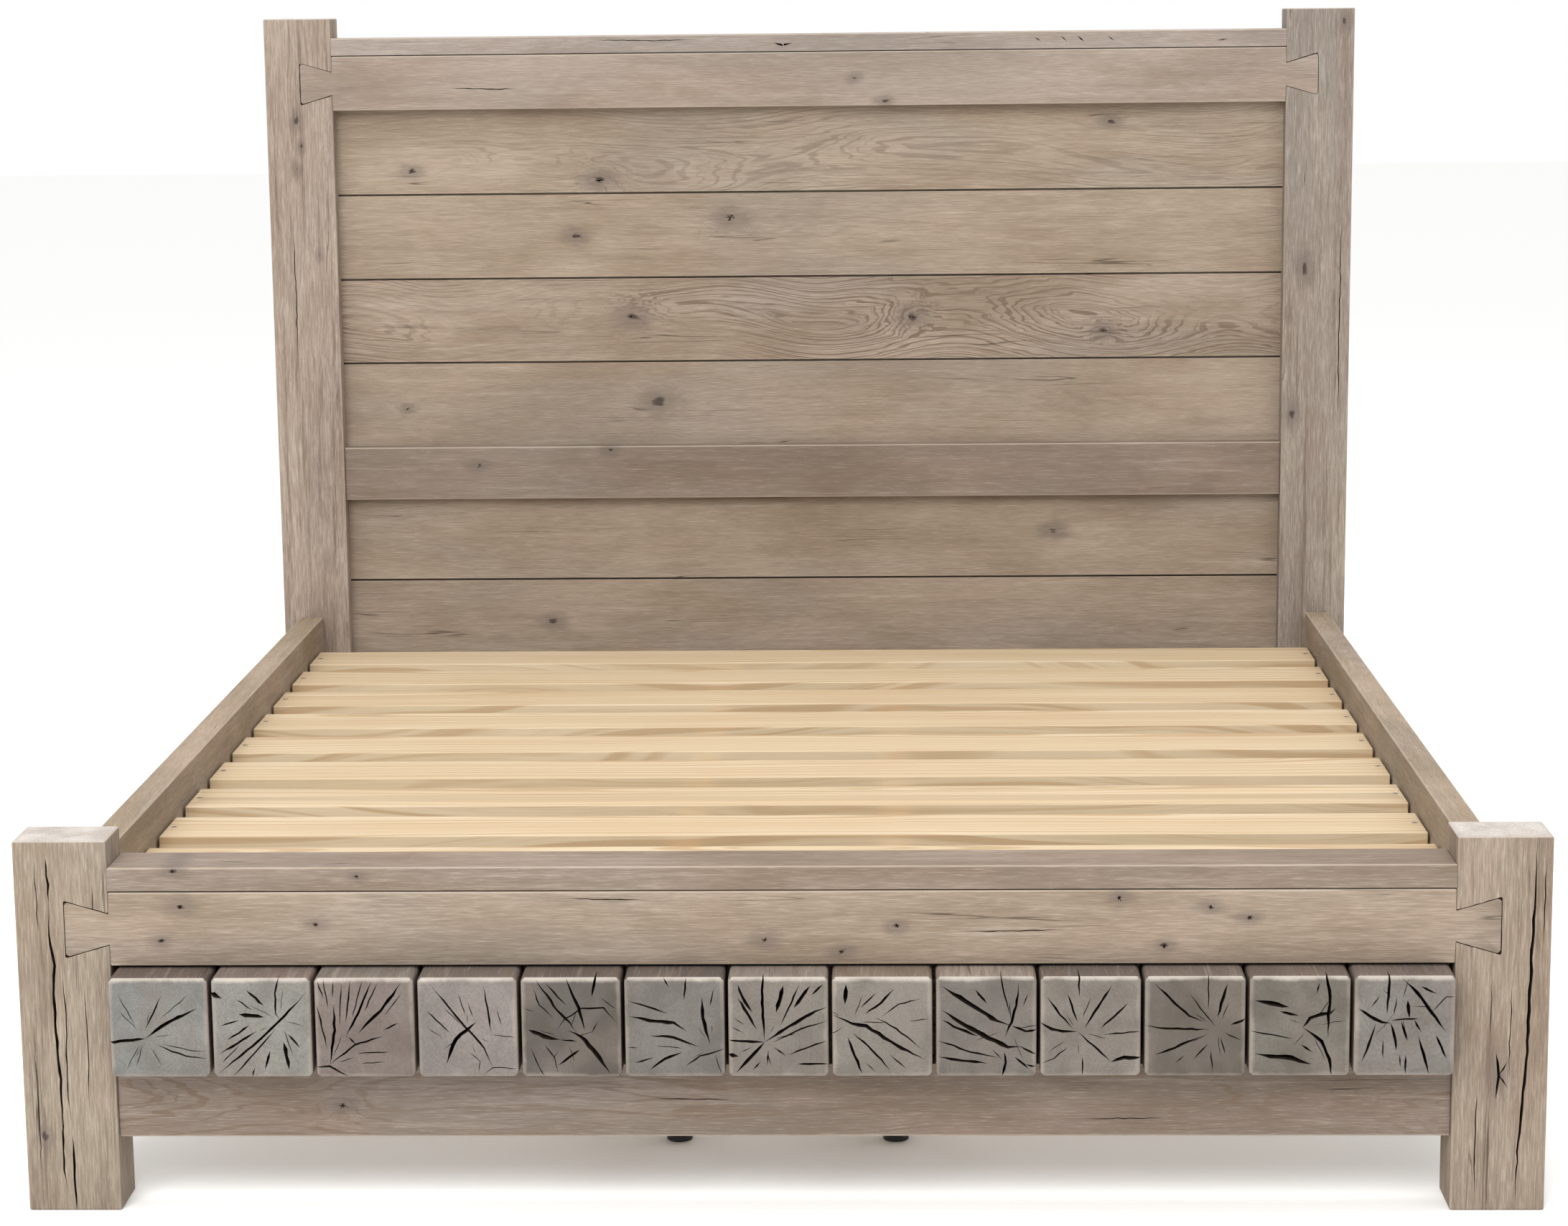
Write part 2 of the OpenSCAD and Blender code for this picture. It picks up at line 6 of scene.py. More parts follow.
import math
import random

import bmesh
import bpy
from mathutils import Matrix, Vector


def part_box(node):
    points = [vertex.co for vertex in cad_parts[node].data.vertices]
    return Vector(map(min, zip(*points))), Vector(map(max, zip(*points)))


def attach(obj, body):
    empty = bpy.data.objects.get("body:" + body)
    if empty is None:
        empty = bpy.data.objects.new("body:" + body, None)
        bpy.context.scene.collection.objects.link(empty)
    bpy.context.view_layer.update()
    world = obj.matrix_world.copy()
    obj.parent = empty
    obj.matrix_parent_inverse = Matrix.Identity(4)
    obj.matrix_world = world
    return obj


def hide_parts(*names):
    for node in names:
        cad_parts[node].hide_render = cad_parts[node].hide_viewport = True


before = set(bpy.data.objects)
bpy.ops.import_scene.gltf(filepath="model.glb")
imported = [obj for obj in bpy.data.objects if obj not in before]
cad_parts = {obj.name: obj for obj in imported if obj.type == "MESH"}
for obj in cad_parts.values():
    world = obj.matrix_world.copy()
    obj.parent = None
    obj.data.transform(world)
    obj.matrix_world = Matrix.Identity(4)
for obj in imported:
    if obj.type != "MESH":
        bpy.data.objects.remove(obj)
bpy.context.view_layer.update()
MM = 0.001
print("pieces in the CAD model:", len(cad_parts))

# %% [markdown]
# The camera comes first, because it decides what has to be finished best. It stands in front of
# the footboard, above it, and looks slightly down and to the left through a long lens.

# %% Camera
CAMERA_AT = Vector((155.3, -5660.7, 1649.8)) * MM
YAW, PITCH, ROLL = -0.03136, 0.17484, -0.0108
LENS_MM, SENSOR_MM = 78.8, 36.0

forward = Vector((math.sin(YAW) * math.cos(PITCH), math.cos(YAW) * math.cos(PITCH), -math.sin(PITCH)))
right = Vector((math.cos(YAW), -math.sin(YAW), 0))
up = right.cross(forward)
right, up = (right * math.cos(ROLL) + up * math.sin(ROLL),
             up * math.cos(ROLL) - right * math.sin(ROLL))
lens = bpy.data.cameras.new("camera")
lens.lens = LENS_MM
lens.sensor_width = SENSOR_MM
lens.clip_end = 100
camera = bpy.data.objects.new("camera", lens)
bpy.context.scene.collection.objects.link(camera)
turn = Matrix((right, up, -forward)).transposed().to_4x4()
camera.matrix_world = Matrix.Translation(CAMERA_AT) @ turn
bpy.context.scene.camera = camera
print("camera at", tuple(round(c, 3) for c in CAMERA_AT))

# %% [markdown]
# A product studio is mostly white: a pale floor, a bright surround, and one large soft lamp above
# and in front that gives the tops of the boards their highlight. Colours are written as sRGB hex
# and turned to linear by one function.

# %% Colour, floor and lights
def linear(code, alpha=1.0):
    parts = [int(code[k:k + 2], 16) / 255 for k in (1, 3, 5)]
    return [c / 12.92 if c <= 0.04045 else ((c + 0.055) / 1.055) ** 2.4 for c in parts] + [alpha]


def add(tree, kind, *values, out=None, **settings):
    """Add a node and return one output. Values feed its inputs in turn, or by name if capital."""
    made = tree.nodes.new("ShaderNode" + kind)
    feeds = {key: value for key, value in settings.items() if key[0].isupper()}
    for key in settings.keys() - feeds.keys():
        setattr(made, key, settings[key])
    feeds = {made.inputs[key]: value for key, value in feeds.items()}
    feeds.update(zip((socket for socket in made.inputs if socket.enabled), values))
    for socket, value in feeds.items():
        if isinstance(value, bpy.types.NodeSocket):
            tree.links.new(value, socket)
        else:
            socket.default_value = linear(value) if isinstance(value, str) else value
    return made.outputs[out] if out else next((socket for socket in made.outputs if socket.enabled), None)


def new_material(name):
    """An empty material with a Principled shader, and the two nodes that every finish needs."""
    made = bpy.data.materials.new(name)
    made.use_nodes = True
    made.node_tree.nodes.clear()
    surface = add(made.node_tree, "BsdfPrincipled")
    add(made.node_tree, "OutputMaterial", surface)
    return made, made.node_tree, surface.node.inputs


def finish(tree, inputs, colour, roughness, height, strength, depth_mm):
    """Link a colour, a roughness and a height to the shader."""
    tree.links.new(colour, inputs["Base Color"])
    tree.links.new(roughness, inputs["Roughness"])
    relief = add(tree, "Bump", Height=height, Strength=strength, Distance=depth_mm * MM)
    tree.links.new(relief, inputs["Normal"])


FLOOR_REACH = 30.0
scene = bpy.context.scene
scene.view_settings.view_transform = "Standard"
world = bpy.data.worlds.new("studio")
world.use_nodes = True
scene.world = world
sky = world.node_tree.nodes["Background"]
sky.inputs["Color"].default_value = linear("#ffffff")
sky.inputs["Strength"].default_value = 1.0

floor_mesh = bmesh.new()
bmesh.ops.create_grid(floor_mesh, x_segments=1, y_segments=1, size=FLOOR_REACH)
floor_data = bpy.data.meshes.new("studio_floor")
floor_mesh.to_mesh(floor_data)
floor_mesh.free()
floor = bpy.data.objects.new("studio_floor", floor_data)
scene.collection.objects.link(floor)
paper, tree, inputs = new_material("pale studio floor")
inputs["Base Color"].default_value = linear("#fbfbfa")
inputs["Roughness"].default_value = 0.9
floor_data.materials.append(paper)

LAMPS_AIM = Vector((0, -0.2, 0.7))
LAMPS = {"lamp_front": ((-1.4, -5.2, 4.2), 3.2, 305), "lamp_top": ((0.6, 0.3, 5.2), 4.0, 150)}
for name, (place, size, watts) in LAMPS.items():
    lamp_data = bpy.data.lights.new(name, "AREA")
    lamp_data.size = size
    lamp_data.energy = watts
    lamp = bpy.data.objects.new(name, lamp_data)
    scene.collection.objects.link(lamp)
    aim = LAMPS_AIM - Vector(place)
    lamp.matrix_world = Matrix.Translation(place) @ aim.to_track_quat("-Z", "Y").to_matrix().to_4x4()
print("floor and", len(LAMPS), "lamps")

# %% [markdown]
# Wood is a solid material, so its figure is made in three dimensions. Growth rings are tubes round
# the tree's centre line, the pith. A board is a slice beside that line. Where the line wanders, the
# slice shows arches, and where it runs straight, stripes. So the material bends the space a little,
# measures the distance to the pith, and turns that distance into rings. The same rule draws the
# right figure on faces, edges and ends at once, which a flat pattern can't.
#
# The finish on this oak is brushed and whitewashed: the soft early wood is scrubbed out and holds
# pale pigment, the hard late wood stays browner, and nothing shines.

# %% Helpers for wood
GRAIN_ORDER = {"x": "XZY", "z": "ZXY", "y": "YXZ"}    # along the grain, across the face, into it
SMOOTH = {"interpolation_type": "SMOOTHSTEP"}
COLOUR = {"data_type": "RGBA"}


def in_grain_order(vector, grain):
    """A vector's parts as (along the grain, across the face, into the board)."""
    return Vector([vector["XYZ".index(axis)] for axis in GRAIN_ORDER[grain]])


def grain_space(tree, grain, centre):
    """Object coordinates from a centre as (along the grain, across the face, into the board)."""
    place = add(tree, "TexCoord", out="Object")
    split = add(tree, "SeparateXYZ", add(tree, "VectorMath", place, centre, operation="SUBTRACT"))
    return add(tree, "CombineXYZ", *(split.node.outputs[axis] for axis in GRAIN_ORDER[grain]))


def cloudy(tree, space, scale, seed, detail=3.0, rough=0.55, out=None):
    """Noise with its own scale per metre along, across and into the board, moved by a seed."""
    moved = add(tree, "Mapping", space, (seed, seed * 0.7, seed * 1.3), (0, 0, 0), scale)
    return add(tree, "TexNoise", moved, 1.0, detail, rough, out=out)


def bent_space(tree, space, scale, reach, seed, detail):
    """The board's space, pushed about by noise of a given scale by up to a given reach."""
    push = cloudy(tree, space, scale, seed, detail, out="Color")
    push = add(tree, "VectorMath", push, (0.5, 0.5, 0.5), operation="SUBTRACT")
    return add(tree, "VectorMath", push, (0, reach, reach), space, operation="MULTIPLY_ADD")


def growth_rings(tree, radius, spacing_mm, seed):
    """Uneven rings: noise along the distance from the pith."""
    along = add(tree, "Math", radius, seed, operation="ADD")
    return add(tree, "TexNoise", along, 1000 / spacing_mm, 2.0, 0.6, noise_dimensions="1D")


def paint(tree, colour, layers):
    """Lay shades over a colour. Each grows from below to above as its source goes start to stop."""
    for source, start, stop, below, above, shade in layers:
        amount = add(tree, "MapRange", source, start, stop, below, above, **SMOOTH)
        colour = add(tree, "Mix", amount, colour, shade, **COLOUR)
    return colour


def stack(tree, parts):
    """A sum of sources, each times its share."""
    total = 0.0
    for source, share in parts:
        total = add(tree, "Math", source, share, total, operation="MULTIPLY_ADD")
    return total


print("helpers for wood are ready")

# %% Oak that has been brushed and whitewashed
RING_MM = 2.6          # one ring, drawn a little coarse so that it shows
FIBRE_MM = 2.0         # one brushed groove
STRIPE_MM = 13.0       # bands of darker and paler wood
CHECK_MM = 14.0        # spacing of the hairline drying checks


def oak(name, node, grain, pale, brown, pith=(0.02, 0.09), flame=0.35, lively=1.0, knots=(),
        streak=0.25, grey=0.25, edge_wear_and_highlight=0.3, rough=1.0, seed=0):
    """Whitewashed oak for one board. Knots are (along, across, radius) in mm in the row's frame.

    Flame is how strongly the rings show, lively how tightly they wave, streak how dark the
    weathered stripes are, grey how far patches have lost their brown, edge_wear_and_highlight how
    pale the edges are, partly rubbed whitewash and partly painted highlight, and rough how deeply
    the fibres have been brushed."""
    low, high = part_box(node)
    middle = in_grain_order((low + high) / 2, grain)
    half = in_grain_order((high - low) / 2, grain)
    made, tree, inputs = new_material(name)
    space = grain_space(tree, grain, (low + high) / 2)
    shift = seed * 3.7 + 1.0

    # The pith wanders along the tree. Smaller ripples make the ring lines ragged.
    bent = bent_space(tree, space, (1.1 * lively, 2.0, 2.0), 0.12, shift, 0.0)
    bent = bent_space(tree, bent, (2.5, 18.0, 18.0), 0.020, shift + 5, 1.0)
    bent = bent_space(tree, bent, (4.0, 70.0, 70.0), 0.010, shift + 7, 1.0)
    offset = add(tree, "VectorMath", bent, (0, pith[0], pith[1]), operation="SUBTRACT")
    flat = add(tree, "VectorMath", offset, (0.03, 1, 1), operation="MULTIPLY")
    radius = add(tree, "VectorMath", flat, operation="LENGTH")

    # Rings swing round each knot. Its heart is dark and ragged, in a smoky patch.
    wobble = cloudy(tree, space, (34.0, 80.0, 80.0), shift + 17, 3.0, 0.6)
    heart = 0.0
    smoke = 0.0
    for along, across, size in knots:
        spot = (along * MM - middle.x, across * MM - middle.y, 0)
        away = add(tree, "VectorMath", space, spot, operation="SUBTRACT")
        away = add(tree, "VectorMath", away, (0.6, 1, 0), operation="MULTIPLY")
        reach = add(tree, "Math", wobble, size * 3.0 * MM, -size * 1.5 * MM, operation="MULTIPLY_ADD")
        reach = add(tree, "Math", add(tree, "VectorMath", away, operation="LENGTH"), reach,
                    operation="ADD")
        swing = add(tree, "MapRange", reach, 0.0, size * 5.0 * MM, size * 1.5 * MM, 0.0, **SMOOTH)
        dark = add(tree, "MapRange", reach, 0.0, size * 0.8 * MM, 1.0, 0.0, **SMOOTH)
        haze = add(tree, "MapRange", reach, 0.0, size * 4.2 * MM, 1.0, 0.0, **SMOOTH)
        radius = add(tree, "Math", radius, swing, operation="ADD")
        heart = add(tree, "Math", heart, dark, operation="MAXIMUM")
        smoke = add(tree, "Math", smoke, haze, operation="MAXIMUM")

    rings = growth_rings(tree, radius, RING_MM, shift)
    fibre = cloudy(tree, space, (32.0, 1000 / FIBRE_MM, 1000 / FIBRE_MM), shift, 3.0, 0.65)
    stripe = cloudy(tree, space, (3.0, 1000 / STRIPE_MM, 1000 / STRIPE_MM), shift + 2, 4.0, 0.7)
    cloud = cloudy(tree, space, (3.0, 9.0, 9.0), shift + 9, 5.0, 0.6)
    blush = cloudy(tree, space, (5.0, 13.0, 13.0), shift + 13, 3.0, 0.5)
    patch = cloudy(tree, space, (1.6, 5.0, 5.0), shift + 11, 2.0)

    # Hairline checks follow the level lines of a stretched noise, here and there.
    level = cloudy(tree, space, (2.4, 1000 / CHECK_MM, 1000 / CHECK_MM), shift + 3, 1.5)
    level = add(tree, "Math", level, 0.5, operation="SUBTRACT")
    level = add(tree, "Math", level, operation="ABSOLUTE")
    where = cloudy(tree, space, (3.0, 26.0, 26.0), shift + 21, 2.0)
    where = add(tree, "MapRange", where, 0.60, 0.70, **SMOOTH)
    check = add(tree, "MapRange", level, 0.0, 0.02, 1.0, 0.0, **SMOOTH)
    check = add(tree, "Math", check, where, operation="MULTIPLY")

    # How far a point on the surface is from the board's nearest long edge.
    aside = add(tree, "VectorMath", space, operation="ABSOLUTE")
    inward = add(tree, "SeparateXYZ", add(tree, "VectorMath", half, aside, operation="SUBTRACT"))
    inward = add(tree, "Math", *inward.node.outputs[1:], operation="MAXIMUM")

    late = add(tree, "MapRange", rings, 0.46, 0.62, **SMOOTH)
    strong = add(tree, "MapRange", patch, 0.36, 0.56, flame * 0.35, flame, **SMOOTH)
    shown = add(tree, "Math", late, strong, operation="MULTIPLY")
    colour = paint(tree, pale, [
        (cloud, 0.33, 0.67, 0.0, 1.0, brown),
        (blush, 0.50, 0.70, 0.0, 0.13, "#9a7d6f"),
        (shown, 0.0, 1.0, 0.0, 1.0, "#665444"),
        (stripe, 0.50, 0.72, 0.0, streak, "#5e4f43"),
        (stripe, 0.28, 0.46, 0.25, 0.0, "#b2a79a"),
        (patch, 0.45, 0.66, 0.0, grey, "#7d7873"),
        (fibre, 0.36, 0.60, 0.24 * rough, 0.0, "#5d4f42"),
        (fibre, 0.54, 0.76, 0.0, 0.20 * rough, "#b8afa2"),
        # Pale edges: partly rubbed whitewash, partly painted highlight.
        (inward, 0.0, 3.5 * MM, edge_wear_and_highlight, 0.0, "#bbae9d"),
        (smoke, 0.0, 1.0, 0.0, 0.50, "#5b504a"),
        (heart, 0.0, 1.0, 0.0, 0.75, "#271f1a"),
        (check, 0.0, 1.0, 0.0, 0.70, "#372d24"),
    ])
    inputs["IOR"].default_value = 1.5
    inputs["Specular IOR Level"].default_value = 0.3
    roughness = add(tree, "MapRange", late, 0.0, 1.0, 0.86, 0.72)
    height = stack(tree, [(fibre, 0.8 * rough), (shown, 0.5), (stripe, -streak), (check, -1.6),
                          (heart, -0.8)])
    finish(tree, inputs, colour, roughness, height, 0.6, 0.8)
    return made


# %% [markdown]
# Sawn ends show the rings as circles round the pith. They weather to a cool grey, and years of
# rubbing leave their edges paler. A paler band along the top edge of a block's face is painted
# highlight. The tops of the posts and the fronts of the blocks are like this.

# %% End-grain oak
END_RING_MM = 4.2      # drawn a little coarse so that it shows


def end_grain(name, node, grain, heart, tone, dark, stain, rim_mm, seed):
    """Weathered end grain round a heart, which is any point of the pith in the row's frame."""
    low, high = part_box(node)
    half = in_grain_order((high - low) / 2, grain)
    made, tree, inputs = new_material(name)
    space = grain_space(tree, grain, heart)
    shift = seed * 2.9 + 4.0
    bent = bent_space(tree, space, (1.0, 16.0, 16.0), 0.030, shift, 3.0)
    flat = add(tree, "VectorMath", bent, (0, 1, 1), operation="MULTIPLY")
    rings = growth_rings(tree, add(tree, "VectorMath", flat, operation="LENGTH"), END_RING_MM, shift)
    grit = cloudy(tree, space, (60, 380, 380), shift + 8, 2.0, 0.6)
    cloud = cloudy(tree, space, (6, 18, 18), shift + 11, 4.0, 0.6)
    blot = cloudy(tree, space, (4, 11, 11), shift + 15, 2.0, 0.5)

    # Distances in metres from the face's nearest edge and from its top edge, both a little uneven.
    place = grain_space(tree, grain, (low + high) / 2)
    aside = add(tree, "VectorMath", place, operation="ABSOLUTE")
    inward = add(tree, "SeparateXYZ", add(tree, "VectorMath", half, aside, operation="SUBTRACT"))
    edge = add(tree, "Math", *inward.node.outputs[1:], operation="MINIMUM")
    below = add(tree, "SeparateXYZ", add(tree, "VectorMath", half, place, operation="SUBTRACT"))
    uneven = add(tree, "Math", cloud, 0.012, -0.006, operation="MULTIPLY_ADD")
    edge = add(tree, "Math", edge, uneven, operation="ADD")
    below = add(tree, "Math", below.node.outputs[2], uneven, operation="ADD")

    colour = paint(tree, tone, [
        (cloud, 0.32, 0.68, 0.0, 1.0, dark),
        (rings, 0.40, 0.66, 0.0, 0.16, "#524b43"),
        (blot, 0.46, 0.66, 0.0, 0.30, stain),
        (grit, 0.36, 0.60, 0.24, 0.0, "#48413a"),
        (edge, 0.0, rim_mm * MM, 0.55, 0.0, "#9a8f84"),
        # A pale band along the top edge is painted highlight (on a post's top, along its back edge).
        (below, 0.0, 7 * MM, 0.65, 0.0, "#b3aba2"),
    ])
    inputs["Specular IOR Level"].default_value = 0.3
    roughness = add(tree, "MapRange", cloud, 0.3, 0.7, 0.84, 0.92)
    finish(tree, inputs, colour, roughness, stack(tree, [(grit, 0.8), (rings, 0.3)]), 0.6, 0.8)
    return made


print("end grain is ready")

# %% [markdown]
# Inside a drying crack the wood is old, dusty and nearly black. It needs a material of its own,
# which adds painted shade, because light alone doesn't make a shallow cut dark enough. The same
# painted shade darkens the walls of joints and the seams between planks.

# %% The inside of cracks
dark_wood_and_painted_shade, tree, inputs = new_material("dark oak and painted shade in cracks, joints and seams")
# Two near-blacks, mottled: dusty old oak with painted shade.
dust_and_shade_mottle = cloudy(tree, grain_space(tree, "x", (0, 0, 0)), (90, 90, 90), 2.0)
tree.links.new(add(tree, "Mix", dust_and_shade_mottle, "#1a1511", "#372d25", **COLOUR), inputs["Base Color"])
inputs["Roughness"].default_value = 0.95
inputs["Specular IOR Level"].default_value = 0.1
print("made", dark_wood_and_painted_shade.name)

# %% [markdown]
# A board starts as a copy of its CAD solid. The copy's loose triangles are merged and its flat
# faces joined, then every long outer edge is eased with a small bevel, as a maker does with a
# plane. Eased edges catch a thin line of light, and that is what makes boards read as wood.
# Screw holes have short edges, so they are left alone.

# %% Copies of CAD solids with eased edges
MERGE_WITHIN = 0.01 * MM


def piece_from(bm, name, body, slot, replaced, materials):
    """Store a bmesh as a finished piece."""
    data = bpy.data.meshes.new(name)
    bm.to_mesh(data)
    bm.free()
    piece = bpy.data.objects.new(name, data)
    scene.collection.objects.link(piece)
    for material in materials:
        data.materials.append(material)
    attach(piece, body)
    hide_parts(*replaced)
    return piece


def copy_solid(node):
    """A clean bmesh of a CAD node, with flat faces joined."""
    bm = bmesh.new()
    bm.from_mesh(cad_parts[node].data)
    bmesh.ops.remove_doubles(bm, verts=bm.verts, dist=MERGE_WITHIN)
    bmesh.ops.dissolve_limit(bm, angle_limit=math.radians(0.5), verts=bm.verts, edges=bm.edges)
    return bm


def ease_edges(bm, width, shortest=14 * MM, segments=3):
    """Bevel the long convex edges that don't run into a small curve."""
    long_edges = {e for e in bm.edges if e.calc_length() > shortest}
    picked = [e for e in long_edges if len(e.link_faces) == 2 and e.is_convex
              and e.calc_face_angle(0) > math.radians(40)
              and all(near in long_edges for v in e.verts for near in v.link_edges)]
    bmesh.ops.bevel(bm, geom=picked, offset=width, offset_type="OFFSET", segments=segments,
                    profile=0.5, affect="EDGES", material=-1, clamp_overlap=True)
    return len(picked)


def give_material(bm, index, test):
    """Put the faces that pass a test in another material slot."""
    for face in bm.faces:
        if test(face):
            face.material_index = index


# %% [markdown]
# Real drying cracks are wedges: widest at the surface, closing with depth, and running out to a
# hair at both ends. Each one here is a cube divided along its length and pulled onto a path on the
# board's face. All of a piece's wedges are cut away at once, and the cut faces take the dark wood
# with its painted shade.

# %% Cutting cracks
def wedge(cutter, path, widths, depth, face_y, outward=-1):
    """Add one crack to a cutter: path holds (x, z) points on the face at face_y."""
    last = len(path) - 1
    part = bmesh.new()
    bmesh.ops.create_cube(part, size=1.0)
    long_edges = [e for e in part.edges if abs(e.verts[0].co.x - e.verts[1].co.x) > 0.5]
    bmesh.ops.subdivide_edges(part, edges=long_edges, cuts=last - 1)
    for v in part.verts:
        k = round((v.co.x + 0.5) * last)
        side = 1 if v.co.y > 0 else -1
        deep = v.co.z < 0
        ahead = path[min(k + 1, last)] - path[max(k - 1, 0)]
        across = Vector((-ahead.y, ahead.x)).normalized()
        half = widths[k] / 2 * (0.12 if deep else 1.15)
        spot = path[k] + across * side * half
        sink = depth * widths[k] / max(widths) if deep else -1.5 * MM
        v.co = (spot.x, face_y - outward * sink, spot.y)
    bmesh.ops.recalc_face_normals(part, faces=part.faces)
    data = bpy.data.meshes.new("wedge")
    part.to_mesh(data)
    part.free()
    cutter.from_mesh(data)
    bpy.data.meshes.remove(data)


def wandering(points, width, rng, wobble, step=9 * MM, tips=(True, True)):
    """A path through given points with a natural wobble, and its widths."""
    path = []
    for a, b in zip(points, points[1:]):
        count = max(1, round((b - a).length / step))
        path += [a.lerp(b, k / count) for k in range(count)]
    path.append(points[-1])
    for k in range(1, len(path) - 1):
        path[k] = path[k] + Vector((rng.uniform(-wobble, wobble), rng.uniform(-wobble, wobble)))
    last = len(path) - 1
    widths = []
    for k in range(last + 1):
        start = min(1, 4 * k / last) if tips[0] else 1
        stop = min(1, 4 * (last - k) / last) if tips[1] else 1
        widths.append(width * max(0.08, min(start, stop)) * rng.uniform(0.75, 1.1))
    return path, widths


def star(cutter, spot, size, rng, face_y):
    """Short cracks crossing in a knot."""
    for k in range(3):
        angle = math.pi * (k + rng.uniform(-0.3, 0.3)) / 3
        arm = Vector((math.cos(angle), math.sin(angle))) * size * rng.uniform(0.6, 1.2)
        path, widths = wandering([spot - arm, spot, spot + arm * 0.8], size * rng.uniform(0.2, 0.34),
                                 rng, size * 0.12, step=size * 0.4)
        wedge(cutter, path, widths, size * 0.8, face_y)


def cut_away(bm, cutter, materials):
    """Cut one bmesh out of another. The cut faces take the last of the materials."""
    pair = []
    for shape, skin in ((bm, materials), (cutter, [materials[-1]])):
        data = bpy.data.meshes.new("cut")
        shape.to_mesh(data)
        shape.free()
        for material in skin:
            data.materials.append(material)
        pair.append(bpy.data.objects.new("cut", data))
        scene.collection.objects.link(pair[-1])
    tool = pair[0].modifiers.new("cut", "BOOLEAN")
    tool.operation = "DIFFERENCE"
    tool.solver = "EXACT"
    tool.use_self = True
    tool.material_mode = "TRANSFER"
    tool.object = pair[1]
    seen = pair[0].evaluated_get(bpy.context.evaluated_depsgraph_get())
    result = bmesh.new()
    result.from_mesh(seen.to_mesh())
    seen.to_mesh_clear()
    for shape in pair:
        data = shape.data
        bpy.data.objects.remove(shape)
        bpy.data.meshes.remove(data)
    return result


# %% [markdown]
# The posts show their long drying checks on the front. The footboard's are seen from closest, so
# theirs run nearly the full height. Each check is a list of (x, z) points in millimetres.

# %% Posts
POST_CHECKS = {
    "footboard_post_left": [
        (3.0, [(-1008, 508), (-1006, 444)]),
        (3.8, [(-1006, 452), (-1009, 400), (-1003, 354), (-1006, 300), (-1002, 190), (-1001, 89)]),
        (2.4, [(-1001, 140), (-1003, 60), (-1000, 30)]),
        (3.4, [(-989, 112), (-988, 50), (-988, -2)]),
        (1.8, [(-992, 350), (-990, 270), (-993, 180), (-988, 120)]),
        (1.4, [(-962, 330), (-961, 240), (-963, 150)]),
        (1.3, [(-946, 470), (-945, 400)]),
        (1.3, [(-1036, 250), (-1034, 120), (-1035, 40)]),
        (1.2, [(-1024, 500), (-1023, 400)]),
    ],
    "footboard_post_right": [
        (4.2, [(1032, 533), (1030, 430), (1028, 357), (1025, 214), (1016, 84), (1014, -2)]),
        (3.6, [(983, 226), (987, 194), (984, 160)]),
        (2.4, [(987, 194), (999, 214)]),
        (2.4, [(986, 196), (1000, 176)]),
        (1.6, [(958, 180), (957, 60), (958, 20)]),
        (1.4, [(1045, 500), (1043, 380)]),
        (1.3, [(975, 330), (974, 250)]),
        (1.3, [(1003, 330), (1001, 240), (1002, 190)]),
    ],
    "headboard_post_left": [
        (2.0, [(-1010, 1240), (-1008, 1100), (-1010, 980)]),
        (2.0, [(-958, 1120), (-956, 960), (-957, 800)]),
        (1.8, [(-990, 900), (-989, 700), (-991, 560)]),
        (1.8, [(-1030, 700), (-1028, 420), (-1029, 250)]),
        (1.6, [(-1036, 1560), (-1035, 1400)]),
        (2.2, [(-944, 1100), (-942, 960), (-945, 820)]),
        (2.0, [(-962, 1060), (-960, 900)]),
        (1.8, [(-935, 1000), (-934, 880)]),
    ],
    "headboard_post_right": [
        (2.6, [(1031, 1386), (1024, 1358), (1016, 1329)]),
        (2.4, [(1047, 1282), (1022, 1228), (985, 1171)]),
        (1.8, [(968, 1170), (960, 1120), (975, 1060)]),
        (2.0, [(1036, 1240), (1034, 1020), (1035, 820)]),
        (2.0, [(962, 1080), (961, 930), (962, 780)]),
        (1.8, [(1000, 620), (1001, 430), (1000, 260)]),
        (1.6, [(990, 1300), (989, 1180)]),
    ],
}
POST_KNOTS = {
    "footboard_post_left": [(107, -1027, 6)],
    "footboard_post_right": [(194, 987, 9)],
    "headboard_post_left": [(1439, -996, 6), (1392, -988, 4), (1347, -998, 5), (1180, -960, 4)],
    "headboard_post_right": [(1613, 1034, 7), (1139, 966, 9), (850, 944, 9)],
}
POST_FIGURE = {
    # post: (pale, brown, pith, grey, flame)
    "footboard_post_left": ("#8f8374", "#7f7161", (0.010, 0.085), 0.15, 0.30),
    "footboard_post_right": ("#8f8172", "#7b6a5a", (-0.015, 0.070), 0.10, 0.30),
    "headboard_post_left": ("#9d8f82", "#8a7a6d", (0.020, 0.060), 0.20, 0.28),
    "headboard_post_right": ("#948a7e", "#80746b", (-0.020, 0.075), 0.45, 0.38),
}
EASE_POST = 3.0 * MM
CHECK_DEPTH = 18 * MM
POST_WOBBLE, POST_STEP = 0.9 * MM, 14 * MM
TAIL_WIDE, TAIL_NECK = 79 * MM, 43 * MM
JOINT_LINE = {"footboard": 3.4 * MM, "headboard": 4.5 * MM}     # the worn gap round a dovetail
JOINT_DEEP = 3 * MM
# The walls of joints are coloured dark, partly dirt and partly painted shade.
INSIDE = 6 * MM        # faces further in than this are the walls of joints, and dark

